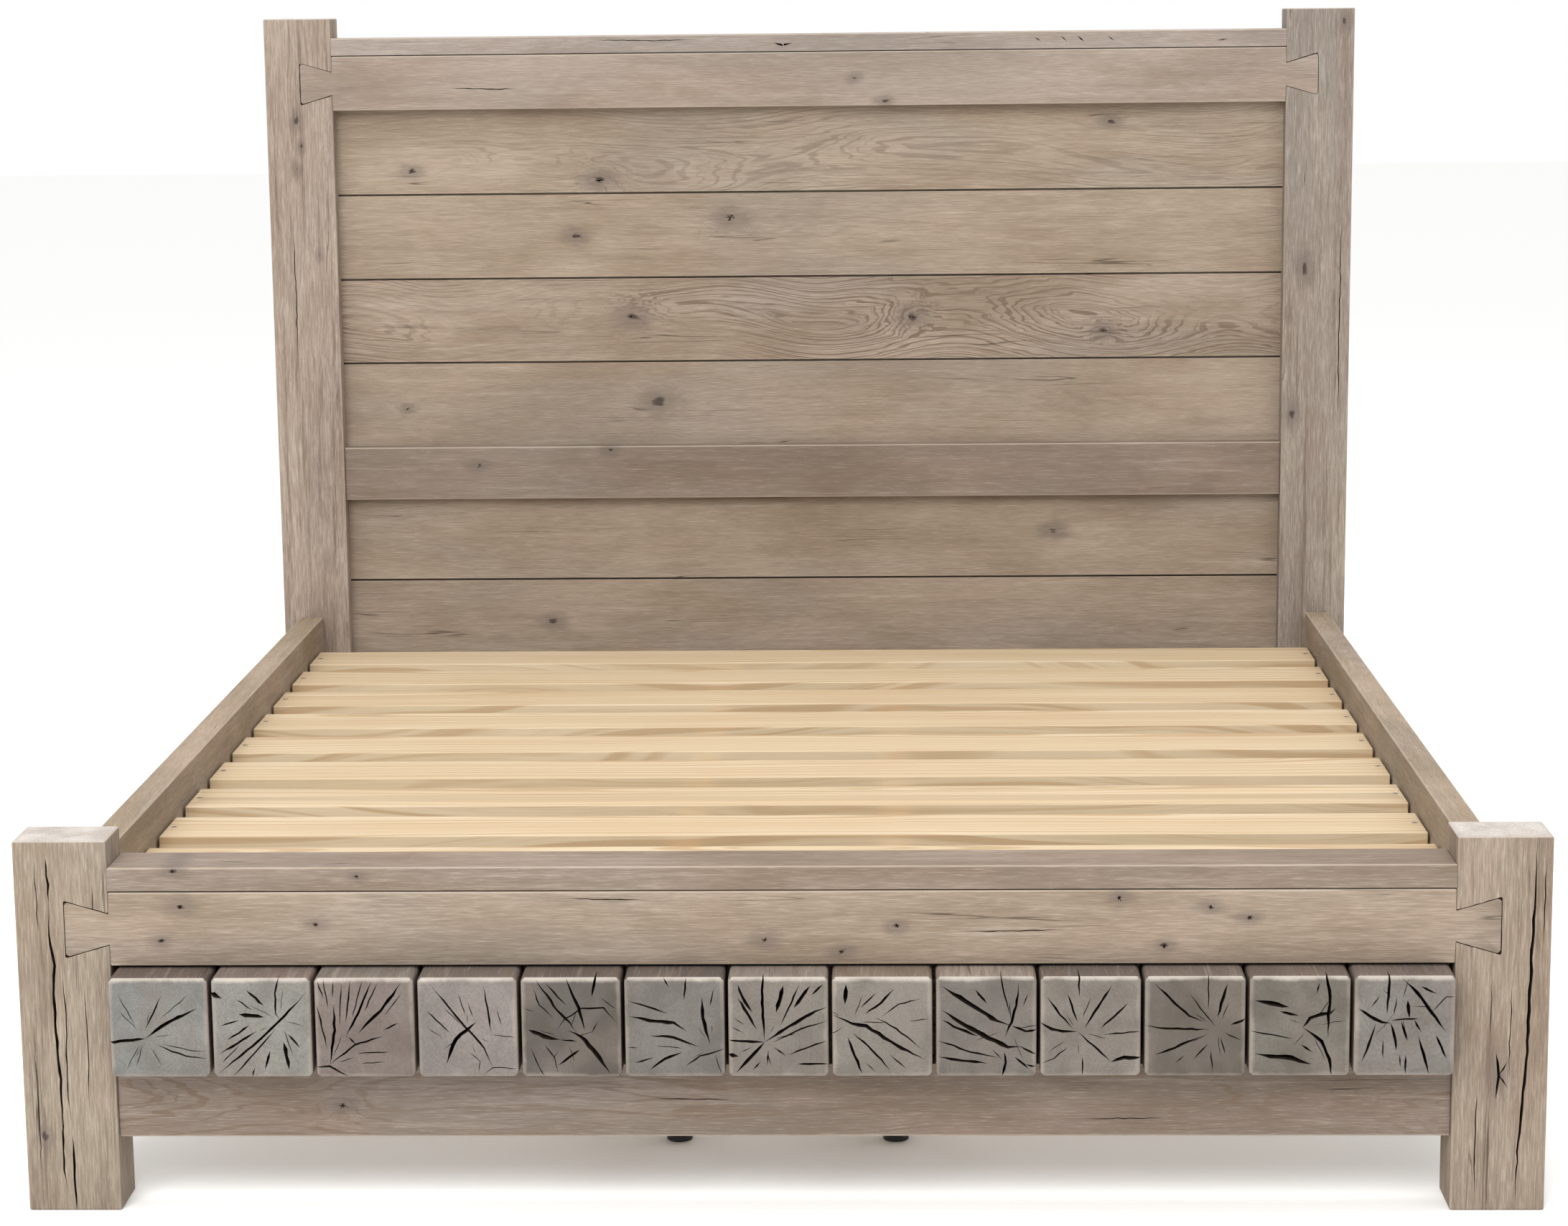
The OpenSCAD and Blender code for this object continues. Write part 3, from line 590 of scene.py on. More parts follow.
for number, (name, checks) in enumerate(POST_CHECKS.items()):
    rng = random.Random(40 + number)
    bm = copy_solid(name)
    ease_edges(bm, EASE_POST)
    cutter = bmesh.new()
    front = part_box(name)[0].y
    for width, points in checks:
        spots = [Vector(p) * MM for p in points]
        path, widths = wandering(spots, width * MM, rng, POST_WOBBLE, step=POST_STEP)
        wedge(cutter, path, widths, CHECK_DEPTH, front)
    end = name.split("_")[0]
    tail_low, tail_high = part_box(end + "_top_rail")
    side = 1 if "right" in name else -1
    tip, neck = tail_high.x * side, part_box(name)[0 if side > 0 else 1].x
    level = (tail_low.z + tail_high.z) / 2
    outline = [Vector((neck, level + TAIL_NECK / 2)), Vector((tip, level + TAIL_WIDE / 2)),
               Vector((tip, level - TAIL_WIDE / 2)), Vector((neck, level - TAIL_NECK / 2))]
    for a, b in zip(outline, outline[1:]):
        path, widths = wandering([a, b], JOINT_LINE[end], rng, 0.25 * MM, tips=(False, False))
        wedge(cutter, path, widths, JOINT_DEEP, front)
    pale, brown, pith, grey, flame = POST_FIGURE[name]
    title = name.replace("_", " ")
    wood = oak("whitewashed oak, " + title, name, "z", pale, brown, pith, flame=flame,
               knots=POST_KNOTS[name], streak=0.75, grey=grey, edge_wear_and_highlight=0.25, rough=1.7, seed=number)
    low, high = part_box(name)
    heart = (low + high) / 2 + Vector((*pith, 0))
    sawn = end_grain("whitewashed oak end grain, " + title, name, "z", heart, "#bdb7b1", "#a59c94",
                     "#a99b8f", 9, number + 50)
    give_material(bm, 1, lambda face: face.normal.z > 0.5)
    # Walls of joints inside the post take the dark material: dirt and painted shade.
    give_material(bm, 2, lambda face: abs(face.normal.y) < 0.8 and all(
        low[k] + INSIDE < face.calc_center_median()[k] < high[k] - INSIDE for k in (0, 2)))
    bm = cut_away(bm, cutter, [wood, sawn, dark_wood_and_painted_shade])
    print(name, "faces:", len(bm.faces))
    piece_from(bm, name + "_oak", "bed", "weathered_oak", [name], [wood, sawn, dark_wood_and_painted_shade])

# %% [markdown]
# Rails, caps, planks and side rails are long boards with the grain along them. The colours step
# from board to board, because each comes from another tree. Knots are listed for each board.

# %% Long boards
FIGURE = {
    # board: (pale, brown, pith, flame, lively, knots)
    "footboard_top_rail": ("#948474", "#807160", (-0.012, 0.062), 0.22, 1.0,
                           [(-824, 438, 7), (-852, 390, 5), (-637, 412, 5), (-19, 389, 6),
                            (162, 409, 5), (466, 447, 5), (591, 434, 5), (644, 419, 5),
                            (528, 379, 5), (86, 372, 5)]),
    "footboard_cap": ("#857669", "#716254", (0.010, 0.050), 0.22, 1.0,
                      [(-833, 488, 5), (-579, 480, 4)]),
    "footboard_lower_rail": ("#7b6d63", "#67594d", (0.012, 0.046), 0.80, 2.0, [(-610, 150, 6)]),
    "headboard_top_rail": ("#95887c", "#847567", (0.004, 0.070), 0.22, 1.0,
                           [(92, 1512, 5), (151, 1467, 5)]),
    "headboard_cap": ("#988d85", "#83786f", (0.0, 0.055), 0.25, 1.0, []),
    "headboard_middle_rail": ("#7d6f63", "#6c5d50", (-0.010, 0.052), 0.22, 1.0,
                              [(-395, 790, 6), (-657, 760, 6)]),
    "headboard_lower_rail": ("#857667", "#736352", (0.012, 0.060), 0.30, 1.0, [(330, 310, 7)]),
    "headboard_plank_1": ("#9c8e7d", "#8a7a68", (-0.030, 0.040), 0.50, 2.0,
                          [(-408, 1318, 10), (-779, 1340, 7), (590, 1424, 7)]),
    "headboard_plank_2": ("#988978", "#867664", (0.022, 0.044), 0.35, 1.2,
                          [(-153, 1243, 11), (-458, 1209, 9)]),
    "headboard_plank_3": ("#968778", "#837363", (0.004, 0.034), 0.9, 2.6,
                          [(-348, 1050, 12), (580, 1016, 8), (201, 1045, 10)]),
    "headboard_plank_4": ("#958676", "#827261", (-0.024, 0.044), 0.30, 1.0,
                          [(-299, 881, 12), (-800, 871, 5)]),
    "headboard_plank_5": ("#958676", "#827261", (0.016, 0.042), 0.30, 1.4, [(480, 620, 8)]),
    "headboard_plank_6": ("#928272", "#7e6f5e", (-0.010, 0.040), 0.30, 1.0, [(-520, 440, 8)]),
    "footboard_backing_board": ("#8b7c6a", "#776752", (0.014, 0.050), 0.30, 1.0, []),
}
BOARD_CHECKS = {
    "headboard_cap": [
        (4.0, [(-64, 1581), (-47, 1577), (-28, 1580)]),
        (3.0, [(-50, 1585), (-43, 1572)]),
        (2.4, [(-60, 1574), (-52, 1580)]),
        (2.4, [(220, 1601), (238, 1597)]),
        (1.6, [(-420, 1590), (-300, 1587), (-210, 1589)]),
        (2.0, [(440, 1586), (452, 1579)]),
        (2.0, [(490, 1588), (503, 1578)]),
        (2.6, [(522, 1588), (536, 1577)]),
        (2.0, [(580, 1588), (594, 1578)]),
        (2.6, [(745, 1584), (760, 1577), (778, 1580)]),
        (2.2, [(790, 1577), (812, 1580)]),
    ],
    "headboard_top_rail": [(2.0, [(-700, 1500), (-560, 1497)]), (2.6, [(144, 1469), (162, 1468)])],
    "footboard_top_rail": [(1.6, [(-300, 448), (-180, 446)]), (1.6, [(250, 400), (390, 402)])],
    "footboard_lower_rail": [(1.6, [(-180, 160), (-60, 158)]), (1.5, [(420, 130), (530, 131)])],
}
BETWEEN_POSTS = 2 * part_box("footboard_post_right")[0].x
EASE_BOARD = {"plank": 1.8, "cap": 2.6, "rail": 2.2, "board": 1.0}
EDGE_WEAR_AND_HIGHLIGHT = {"plank": 0.12, "cap": 0.45, "rail": 0.5, "board": 0.1}
for number, (name, (pale, brown, pith, flame, lively, knots)) in enumerate(FIGURE.items()):
    kind = next(word for word in EASE_BOARD if word in name)
    rng = random.Random(200 + number)
    bm = copy_solid(name)
    eased = ease_edges(bm, EASE_BOARD[kind] * MM)
    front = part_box(name)[0].y
    cutter = bmesh.new()
    for along, across, size in knots:
        star(cutter, Vector((along, across)) * MM, size * MM, rng, front)
    for width, points in BOARD_CHECKS.get(name, []):
        path, widths = wandering([Vector(p) * MM for p in points], width * MM, rng, 0.6 * MM)
        wedge(cutter, path, widths, 8 * MM, front)
    wood = oak("whitewashed oak, " + name.replace("_", " "), name, "x", pale, brown, pith, flame,
               lively, knots, edge_wear_and_highlight=EDGE_WEAR_AND_HIGHLIGHT[kind], rough=1.3 if "foot" in name else 1.0,
               seed=10 + number)
    # The tails' faces inside the posts take the dark material: dirt and painted shade.
    give_material(bm, 1, lambda face: abs(face.normal.y) < 0.8
                  and abs(face.calc_center_median().x) > BETWEEN_POSTS / 2 + 1 * MM)
    # The planks' top and bottom faces take the dark material too: painted shade in the seams.
    if kind == "plank":
        give_material(bm, 1, lambda face: abs(face.normal.z) > 0.7)
    if cutter.verts:
        bm = cut_away(bm, cutter, [wood, dark_wood_and_painted_shade])
    print(name, "edges eased:", eased, "knots:", len(knots))
    piece_from(bm, name + "_oak", "bed", "weathered_oak", [name], [wood, dark_wood_and_painted_shade])

# %% Side rails
for number, name in enumerate(("side_rail_left", "side_rail_right")):
    bm = copy_solid(name)
    eased = ease_edges(bm, 2.5 * MM)
    side = 1 if number else -1
    wood = oak("whitewashed oak, " + name.replace("_", " "), name, "y", "#9a8977", "#857560",
               (side * 0.07, 0.02), 0.35, 1.0, [], edge_wear_and_highlight=0.4, seed=30 + number)
    print(name, "edges eased:", eased)
    piece_from(bm, name + "_oak", "bed", "weathered_oak", [name], [wood])

# %% [markdown]
# Each block is its own object with its own cracks. They are listed one by one, each as a width in
# millimetres and then points as shares of the block's width and height from its top left corner.
# A few hairs are drawn out from the pith by a seeded random, the same each time. A block's sides
# are ordinary long grain, with patches a little darker than the rest.

# %% Blocks
BLOCKS = [
    # (pith, face, dark, flank, cracks)
    ((.36, .61), "#727370", "#666460", "#574c46", [
        (5.0, -.02, .645, .16, .625, .36, .605),
        (4.8, .36, .605, .47, .52, .60, .437, .75, .37, .89, .30), (1.2, .10, .15, .27, .49),
        (2.0, .54, .17, .45, .34, .36, .52), (1.2, .83, .15, .51, .41),
        (2.2, .47, .66, .62, .73, .76, .78, .99, .81), (1.4, .54, .66, .84, .73, .99, .73),
        (1.4, .43, .71, .50, .85), (1.2, .33, .66, .26, .89), (1.1, .30, .66, .16, .92)]),
    ((.69, .42), "#797872", "#6b6863", "#70625c", [
        (7.5, -.03, .15, .04, .165, .11, .20),
        (3.0, .97, .13, .83, .28, .69, .42, .45, .64, .05, .96),
        (2.4, .65, .50, .33, .85, .19, .99), (2.2, .70, -.06, .65, .15, .645, .35, .69, .42),
        (5.0, .28, .36, .40, .375, .53, .39), (3.6, .36, .12, .45, .20, .53, .27),
        (2.0, .25, .21, .42, .32), (2.0, .08, .48, .28, .42), (2.6, .15, .62, .38, .47),
        (3.2, .07, .76, .25, .65, .45, .53), (1.6, .09, .85, .27, .67),
        (5.0, .717, .64, .74, .78, .765, .92), (3.0, .58, .73, .52, .92),
        (2.6, .76, .56, .88, .70), (2.0, .42, .90, .39, 1.0), (1.2, .90, .42, .99, .43)]),
    ((.14, .87), "#6c625d", "#5f5550", "#766d66", [
        (3.6, .14, .87, .197, .52, .20, .26), (2.2, .12, .72, .07, .48, .02, .26),
        (3.0, .31, .59, .44, .35, .587, .03), (4.2, .44, .55, .55, .43, .67, .33, .876, .05),
        (2.8, .14, .87, .40, .67, .69, .58), (2.6, .34, .59, .41, .67), (1.7, .41, .76, .75, .74),
        (2.0, .69, .52, .84, .45), (1.8, .04, .03, .10, .21), (1.8, .10, .0, .14, .30),
        (1.6, .20, .02, .19, .20), (2.0, .37, .02, .31, .45), (1.8, .49, .02, .38, .40),
        (1.6, .28, .04, .25, .50), (2.0, .64, .05, .50, .34), (2.6, -.02, .90, .14, .88, .34, 1.0),
        (1.5, .45, .86, .70, .84), (1.5, .88, .15, .70, .38)]),
    ((.50, .55), "#7a736f", "#6c6662", "#695e57", [
        (5.0, .59, .44, .377, .61, .28, .86), (2.8, .136, .06, .39, .39, .66, .70, .745, .90),
        (2.2, .09, .33, .32, .55), (2.6, .67, .08, .70, .30, .737, .55), (1.4, .51, .24, .56, .40),
        (1.4, .41, .15, .48, .38), (1.3, .737, .57, .98, .60),
        (1.4, .62, 1.0, .745, .90, 1.0, .91), (1.2, .80, .30, .84, .48),
        (1.1, .50, .74, .62, .84, .60, .95), (1.1, .10, .50, .24, .60)]),
    ((.45, .62), "#524d49", "#45403a", "#584e48", [
        (6.0, .07, .52, .23, .59, .385, .62), (2.2, .385, .62, .56, .64),
        (5.4, .47, .53, .60, .59, .71, .72, .886, .96),
        (3.2, .157, .02, .37, .33, .486, .45, .557, .55), (4.0, .457, .0, .577, .30, .637, .53),
        (3.2, .757, -.04, .714, .19), (2.4, .357, .53, .44, .41, .61, .31, .83, .30, .957, .45),
        (3.2, .37, .875, .586, .72), (1.8, .13, .11, .186, .27, .33, .41),
        (2.2, .257, .06, .457, .28), (2.2, .77, .44, .70, .56),
        (1.6, .086, .70, .17, .89, .23, 1.0), (1.6, .23, .67, .33, .80, .36, .95),
        (1.5, .80, .20, .97, .32), (1.4, .03, .30, .14, .34)]),
    ((.88, .70), "#68645f", "#5a5652", "#534b46", [
        (5.0, .05, .39, .315, .44, .49, .453, .62, .535), (2.6, .04, .23, .23, .29, .446, .36),
        (3.4, .257, .58, .49, .60, .75, .70), (4.6, .776, .195, .78, .40, .854, .667),
        (1.7, .90, .10, .854, .29), (2.2, .62, .0, .60, .23), (2.2, .39, .0, .446, .10),
        (3.4, .25, .925, .40, .81, .577, .745), (2.2, .096, .855, .286, .80),
        (2.4, .606, .89, .75, .79, 1.01, .71), (1.5, .02, .70, .14, .705),
        (1.3, .30, .68, .58, .71)]),
    ((.36, .65), "#6f6a63", "#625c56", "#7f756c", [
        (3.6, .353, -.10, .34, .26, .362, .635), (4.2, .36, .65, .22, .80, .08, .95),
        (3.6, -.01, .63, .36, .65), (4.2, .36, .65, .61, .49, .876, .336, 1.01, .29),
        (3.8, .10, .07, .14, .195, .244, .35), (3.8, .10, .21, .29, .525),
        (5.2, .553, .085, .48, .35), (2.4, .715, .07, .52, .48), (4.8, .82, .085, .656, .305),
        (3.2, .95, .07, .83, .18), (2.2, 1.0, .43, .73, .515, .435, .65),
        (2.2, .99, .635, .76, .71, .58, .777), (2.8, .685, .87, 1.0, .87),
        (6.0, -.02, .777, .10, .79), (2.2, .40, .73, .39, .88), (2.2, .32, .84, .24, .93),
        (2.2, .45, .70, .58, .79), (1.5, .05, .40, .17, .48), (1.5, .02, .49, .16, .56)]),
    ((.20, .45), "#736e67", "#656059", "#796b5e", [
        (4.4, -.01, .37, .20, .46, .344, .49, .636, .68, .927, .83), (5.2, .14, .07, .13, .27),
        (3.2, .62, .116, .49, .26, .33, .37), (2.2, .446, .15, .286, .305),
        (3.8, .155, .60, .227, .79, .30, .965), (2.8, .21, .557, .40, .73, .577, .93),
        (1.7, .90, .21, .665, .27, .49, .40), (2.2, .43, .40, .636, .51, .90, .73),
        (2.2, .577, .777, .74, .92), (1.6, .33, .855, .43, .95), (1.3, .97, .42, .75, .44)]),
    ((.74, .52), "#68635e", "#5a554f", "#8e8076", [
        (5.8, .063, .094, .35, .28, .606, .44, .75, .49), (3.4, .75, .49, .89, .547, 1.01, .53),
        (6.2, .057, .33, .234, .453, .52, .61, .72, .70, .85, .70),
        (3.8, .057, .43, .234, .52, .42, .59), (2.6, -.01, .625, .177, .69, .35, .75, .62, .81),
        (3.8, .02, .80, .263, .834, .506, .866), (3.2, .39, .125, .506, .266),
        (3.2, .82, .06, .806, .234, .75, .453, .677, .61), (1.8, .634, -.10, .65, .05, .734, .39),
        (1.8, .92, .156, .863, .30), (3.2, .677, .75, .69, .86, .657, 1.0),
        (2.8, .83, .69, 1.0, .78), (2.6, .78, .80, .92, .92), (2.6, .89, .875, 1.0, .90),
        (1.6, .55, .72, .66, .83)]),
    ((.37, .55), "#726c65", "#645e57", "#59504b", [
        (3.8, -.02, .45, .11, .52, .22, .54, .37, .547), (2.6, .37, .547, .526, .69, .70, .853),
        (5.4, .70, .853, .83, .81, 1.01, .81), (2.8, .066, .20, .195, .375, .325, .52),
        (3.2, .27, .17, .37, .45), (2.2, .38, -.10, .388, .20),
        (3.2, .71, .08, .57, .30, .44, .516), (3.0, .87, .26, .74, .39, .60, .516),
        (2.2, 1.0, .547, .626, .58), (1.7, .28, .70, .14, .81, .0, .875),
        (2.2, .417, .80, .417, 1.0), (1.3, .90, .20, .98, .24)]),
    ((.73, .52), "#5a544d", "#4f4941", "#6c6158", [
        (3.2, .095, .07, .30, .266, .44, .39, .587, .453), (3.6, .818, .07, .717, .406),
        (2.8, -.01, .484, .21, .52, .645, .53), (3.2, .095, .78, .30, .71, .56, .594),
        (3.2, .85, .48, 1.01, .42), (1.7, .44, .17, .70, .50), (1.7, .79, .56, .96, .64),
        (2.0, .63, .67, .485, .83), (1.8, .40, .78, .30, .865), (1.8, .66, .73, .673, .95),
        (1.4, .63, -.08, .63, .33), (1.6, .75, .60, .80, .78)]),
    ((.60, .50), "#656159", "#57524b", "#5f534a", [
        (5.8, .05, .24, .21, .27, .39, .305), (3.8, .30, .35, .406, .373, .49, .39),
        (6.4, .06, .77, .21, .80, .42, .81, .51, .85, .617, .876),
        (2.2, .0, .54, .21, .58, .436, .62),
        (3.8, .774, -.10, .76, .016, .797, .206, .78, .397, .78, .61),
        (4.8, .526, .51, .60, .42, .707, .38, .797, .365, .85, .317),
        (4.4, .526, .51, .60, .556, .72, .65, .797, .825, .824, 1.0), (3.2, .51, .68, .63, .76),
        (2.2, .316, .146, .406, .175), (2.2, .69, .06, .66, .175), (2.2, .857, .14, .88, .19),
        (1.7, .91, .225, 1.0, .225), (1.6, .62, .50, .70, .47)]),
    ((.45, .30), "#716c68", "#635e58", "#675b57", [
        (3.2, .306, -.10, .343, -.016, .33, .206, .32, .38),
        (4.4, .47, .03, .62, .167, .664, .22, .76, .365, .91, .556),
        (4.4, .045, .325, .15, .397, .27, .463, .36, .468), (3.8, .36, .468, .41, .635, .418, .74),
        (3.2, .463, .444, .522, .643), (2.2, .36, .44, .64, .42), (4.2, .522, .24, .545, .42),
        (3.8, .634, .595, .71, .84, .746, .98), (3.2, .59, .43, .664, .556),
        (3.2, .21, .476, .15, .68, .075, .857), (2.8, .65, .10, .813, .175),
        (1.7, .76, .365, .90, .206, 1.0, .206), (2.8, .81, .587, .92, .825),
        (2.6, .455, .78, .463, .905), (2.6, .515, .78, .515, .98), (2.2, .254, .19, .157, .317),
        (1.7, .224, .127, .18, .19), (1.7, .284, .62, .29, .825), (1.7, .418, .206, .388, .397)]),
]
BLOCK_EASE = 7.0 * MM
BLOCK_WOBBLE = 0.7 * MM
CRACK_DEPTH = 26 * MM
OVER_DEPTH = 48 * MM   # a crack that runs over the top edge shows there as well
HAIRS, HAIR_DEPTH = 5, 8 * MM
FLANK_SHADE = 0.86     # how dark the darker patches on a block's sides are


def darker(code, share):
    """A hex colour with each of its parts lowered to a share."""
    return "#%02x%02x%02x" % tuple(round(int(code[k:k + 2], 16) * share) for k in (1, 3, 5))


for number, (pith, face, dark, flank, cracks) in enumerate(BLOCKS, start=1):
    name = "end_grain_block_%02d" % number
    rng = random.Random(100 + number)
    low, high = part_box(name)
    bm = copy_solid(name)
    ease_edges(bm, BLOCK_EASE, segments=4)

    def on_face(u, v):
        return Vector((low.x + u * (high.x - low.x), high.z - v * (high.z - low.z)))

    cutter = bmesh.new()
    heart = on_face(*pith)
    for width, *shares in cracks:
        points = [on_face(u, v) for u, v in zip(shares[::2], shares[1::2])]
        path, widths = wandering(points, width * MM, rng, BLOCK_WOBBLE)
        over_top = min(shares[1::2]) < 0
        wedge(cutter, path, widths, OVER_DEPTH if over_top else CRACK_DEPTH * min(1, width / 3), low.y)
    for k in range(HAIRS):
        angle = math.tau * (k + rng.uniform(-0.35, 0.35)) / HAIRS
        aim = Vector((math.cos(angle), math.sin(angle)))
        start, stop = rng.uniform(8, 20) * MM, rng.uniform(30, 55) * MM
        path, widths = wandering([heart + aim * start, heart + aim * stop],
                                 rng.uniform(0.8, 1.3) * MM, rng, 0.8 * MM)
        wedge(cutter, path, widths, HAIR_DEPTH, low.y)
    wood = end_grain("weathered oak end grain, block %d" % number, name, "y",
                     Vector((heart.x, 0, heart.y)), face, dark, "#776c64", 8, number)
    middle = (low + high) / 2
    side = oak("whitewashed oak, block %d sides" % number, name, "y", flank,
               darker(flank, FLANK_SHADE), (heart.x - middle.x, heart.y - middle.z), 0.45,
               streak=0.45, grey=0.1, edge_wear_and_highlight=0.0, seed=60 + number)
    give_material(bm, 1, lambda part: abs(part.normal.y) < 0.5)
    bm = cut_away(bm, cutter, [wood, side, dark_wood_and_painted_shade])
    print(name, "cracks:", len(cracks) + HAIRS, "faces:", len(bm.faces))
    piece_from(bm, name + "_oak", "bed", "end_grain_oak", [name], [wood, side, dark_wood_and_painted_shade])

# %% [markdown]
# What the mattress hides is plain softwood: planed pine, unfinished, warm and low in contrast.

# %% Planed pine for slats, ledgers, bearers and legs
PINE_RING_MM = 7.0


def pine(name, node, grain, seed):
    """Planed, unfinished pine for one board."""
    low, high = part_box(node)
    made, tree, inputs = new_material(name)
    space = grain_space(tree, grain, (low + high) / 2)
    shift = seed * 4.1
    bent = bent_space(tree, space, (1.0, 2.5, 2.5), 0.10, shift, 1.5)
    offset = add(tree, "VectorMath", bent, (0, 0.03, 0.06), operation="SUBTRACT")
    flat = add(tree, "VectorMath", offset, (0.02, 1, 1), operation="MULTIPLY")
    rings = growth_rings(tree, add(tree, "VectorMath", flat, operation="LENGTH"), PINE_RING_MM, shift)
    fibre = cloudy(tree, space, (9.0, 700.0, 700.0), shift, 2.0)
    cloud = cloudy(tree, space, (2.0, 12.0, 12.0), shift + 3, 3.0)
    colour = paint(tree, "#c0ae92", [
        (cloud, 0.35, 0.65, 0.0, 0.6, "#b6a180"),
        (rings, 0.45, 0.62, 0.0, 0.75, "#a58965"),
        (fibre, 0.3, 0.7, 0.15, 0.0, "#8f724e"),
    ])
    finish(tree, inputs, colour, add(tree, "MapRange", rings, 0.4, 0.6, 0.68, 0.56), fibre, 0.3, 0.2)
    return made


pine_boards = {"slat_%02d" % k: "x" for k in range(1, 11)}
pine_boards.update({"ledger_left": "y", "ledger_right": "y", "bearer_left": "y",
                    "bearer_right": "y", "bearer_legs": "z"})
for number, (name, grain) in enumerate(pine_boards.items()):
    bm = copy_solid(name)
    eased = ease_edges(bm, 2.0 * MM)
    wood = pine("planed pine, " + name.replace("_", " "), name, grain, number)
    print(name, "edges eased:", eased)
    piece_from(bm, name + "_pine", "bed", "planed_pine", [name], [wood])

# %% [markdown]
# The metal parts are small and plain: zinc-plated plates and screws, black brackets, brass inserts
# and black feet. Plating is a thin, slightly cloudy skin, so its roughness varies in patches.

# %% Metal finishes
GRIT_MM = 0.5


def metal(name, colour, second, roughness, metallic, scale_mm):
    """A metal or coated finish with cloudy variation of the stated size."""
    made, tree, inputs = new_material(name)
    space = grain_space(tree, "x", (0, 0, 0))
    cloud = cloudy(tree, space, [1000 / scale_mm] * 3, 3.0, 3.0)
    grit = cloudy(tree, space, [1000 / GRIT_MM] * 3, 5.0, 1.0)
    colour = paint(tree, colour, [(cloud, 0.35, 0.65, 0.0, 1.0, second)])
    inputs["Metallic"].default_value = metallic
    finish(tree, inputs, colour, add(tree, "MapRange", cloud, 0.3, 0.7, roughness, roughness + 0.14),
           grit, 0.15, 0.05)
    return made


zinc = metal("zinc-plated steel", "#c9cccd", "#b3b7b8", 0.32, 1.0, 12)
black_coat = metal("black powder-coated steel", "#1b1b1c", "#232324", 0.5, 0.0, 9)
brass = metal("turned brass", "#d0a95c", "#b98f45", 0.28, 1.0, 8)
FITTINGS = {"rail_hook_plates": (zinc, "zinc_steel", 0.5), "post_slot_plates": (zinc, "zinc_steel", 0.4),
            "bearer_brackets": (black_coat, "black_steel", 0.8), "leg_inserts": (brass, "brass_insert", 0.4)}
for name, (finish_used, slot, ease_mm) in FITTINGS.items():
    bm = copy_solid(name)
    eased = ease_edges(bm, ease_mm * MM, shortest=2.5 * MM, segments=2)
    print(name, "edges eased:", eased)
    piece_from(bm, name + "_metal", "bed", slot, [name], [finish_used])

# %% [markdown]
# A screw's head is where its solid is widest. Each head gets a cross recess for the driver, cut by
# two thin crossed blocks along the screw's own axis.

# %% Screws with cross recesses
CROSS_MM = (5.4, 1.1, 3.2)


def islands(bm):
    """The separate solids of a bmesh, as lists of vertices."""
    left = set(bm.verts)
    while left:
        found = [left.pop()]
        for vert in found:
            near = {edge.other_vert(vert) for edge in vert.link_edges} & left
            left -= near
            found += near
        yield found


bm = copy_solid("wood_screws")
cutter = bmesh.new()
screws = 0
for verts in islands(bm):
    spots = [v.co for v in verts]
    low = Vector([min(c[k] for c in spots) for k in range(3)])
    high = Vector([max(c[k] for c in spots) for k in range(3)])
    axis = max(range(3), key=lambda k: high[k] - low[k])
    across = (axis + 1) % 3
    widest = max(spots, key=lambda c: abs(c[across] - (low[across] + high[across]) / 2))
    head = (low + high) / 2
    head[axis] = high[axis] if widest[axis] > head[axis] else low[axis]
    outward = head - (low + high) / 2
    place = Matrix.Translation(head) @ outward.to_track_quat("Z", "Y").to_matrix().to_4x4()
    for quarter in (0, 1):
        block = place @ Matrix.Rotation(quarter * math.pi / 2, 4, "Z") @ Matrix.Diagonal(
            (*(size * MM for size in CROSS_MM), 1))
        bmesh.ops.create_cube(cutter, size=1.0, matrix=block)
    screws += 1
bm = cut_away(bm, cutter, [zinc])
print("screws with a cross recess:", screws)
piece_from(bm, "wood_screws_cross_headed", "bed", "zinc_steel", ["wood_screws"], [zinc])

# %% [markdown]
# A levelling foot is a turned pad, a hexagon to turn it by, and a threaded stud. The pad's outline
# is spun round the axis. The thread is a small triangle spun while it climbs by one pitch a turn.

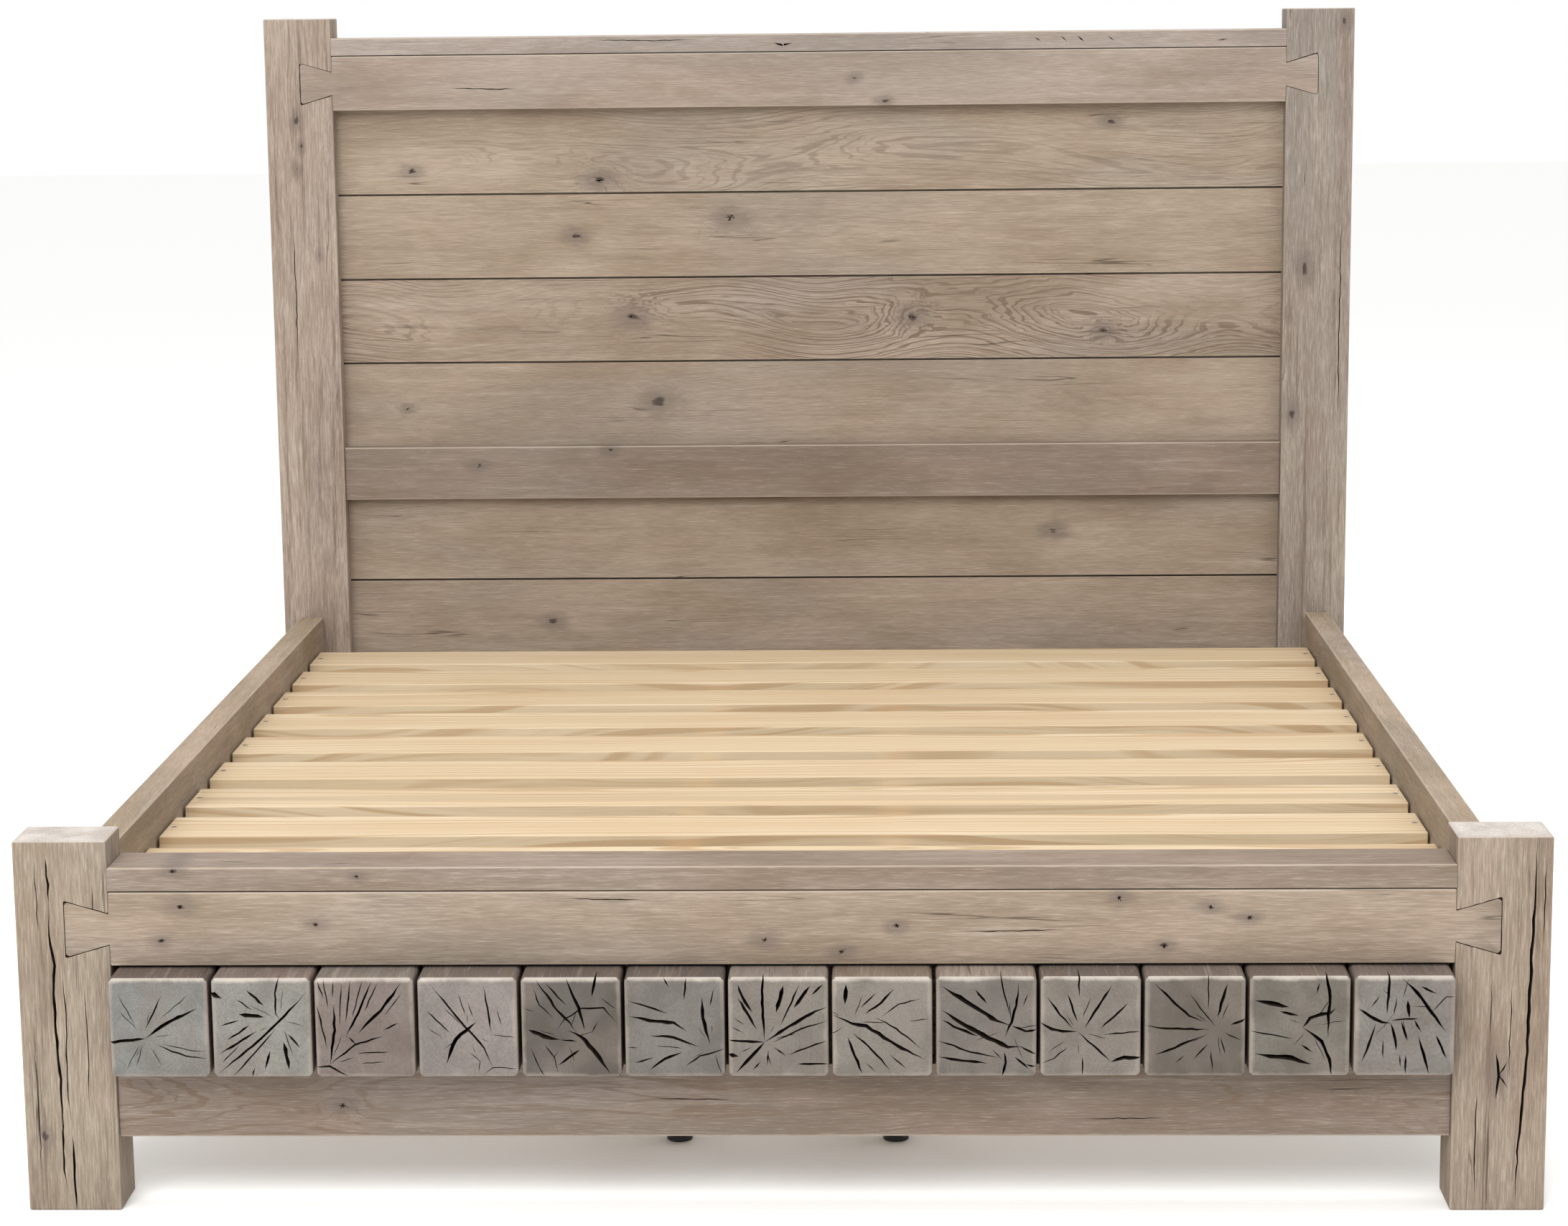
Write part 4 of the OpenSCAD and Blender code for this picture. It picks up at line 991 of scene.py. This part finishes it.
# %% Levelling feet
PAD_OUTLINE = [(0, 0), (17.6, 0), (18.6, 0.4), (19, 1.4), (19, 6.6), (18.6, 7.6), (17.4, 8),
               (16.6, 8.6), (13, 12.2), (11.6, 13.4), (11, 14), (0, 14)]
HEX_MM = (9.5, 14.0, 6.0)               # radius, underside, height
STUD_MM = (4.4, 20.0, 50.0)             # core radius, underside, length
PITCH_MM, TURN_STEPS = 1.5, 20
PAD_STEPS, STUD_SIDES = 48, 32
HEX_EASE = 0.5 * MM
PLAIN_TIP_MM = 3                        # the end of the stud without a thread
THREAD = [(4.3, 0.1), (4.98, 0.7), (4.3, 1.3)]

for number in range(1, 7):
    node = "levelling_foot_%d" % number
    low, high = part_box(node)
    bm = bmesh.new()
    ring = [bm.verts.new((r * MM, 0, z * MM)) for r, z in PAD_OUTLINE]
    line = [bm.edges.new(pair) for pair in zip(ring, ring[1:])]
    bmesh.ops.spin(bm, geom=ring + line, cent=(0, 0, 0), axis=(0, 0, 1), angle=math.tau,
                   steps=PAD_STEPS, use_merge=True)
    bmesh.ops.remove_doubles(bm, verts=bm.verts, dist=MERGE_WITHIN)
    for (radius, under, tall), sides in ((HEX_MM, 6), (STUD_MM, STUD_SIDES)):
        lift = Matrix.Translation((0, 0, (under + tall / 2) * MM))
        made = bmesh.ops.create_cone(bm, cap_ends=True, segments=sides, radius1=radius * MM,
                                     radius2=radius * MM, depth=tall * MM, matrix=lift)
        rims = {edge for vert in made["verts"] for edge in vert.link_edges}
        bmesh.ops.bevel(bm, geom=list(rims) if sides == 6 else [], offset=HEX_EASE, segments=2,
                        offset_type="OFFSET", profile=0.5, affect="EDGES", material=-1)
    turns = int((STUD_MM[2] - PLAIN_TIP_MM) / PITCH_MM)
    ring = [bm.verts.new((r * MM, 0, (STUD_MM[1] + z) * MM)) for r, z in THREAD]
    end = bm.faces.new(ring)
    bmesh.ops.spin(bm, geom=[end], cent=(0, 0, 0), axis=(0, 0, 1), angle=math.tau * turns,
                   steps=TURN_STEPS * turns, dvec=(0, 0, PITCH_MM * MM / TURN_STEPS),
                   use_duplicate=False)
    bmesh.ops.recalc_face_normals(bm, faces=bm.faces)
    give_material(bm, 1, lambda face: face.calc_center_median().z > (STUD_MM[1] + 0.01) * MM)
    middle = (low + high) / 2
    bmesh.ops.translate(bm, verts=bm.verts, vec=(middle.x, middle.y, low.z))
    print(node, "faces:", len(bm.faces))
    piece_from(bm, node + "_threaded", "foot_%d" % number, "black_foot", [node], [black_coat, zinc])
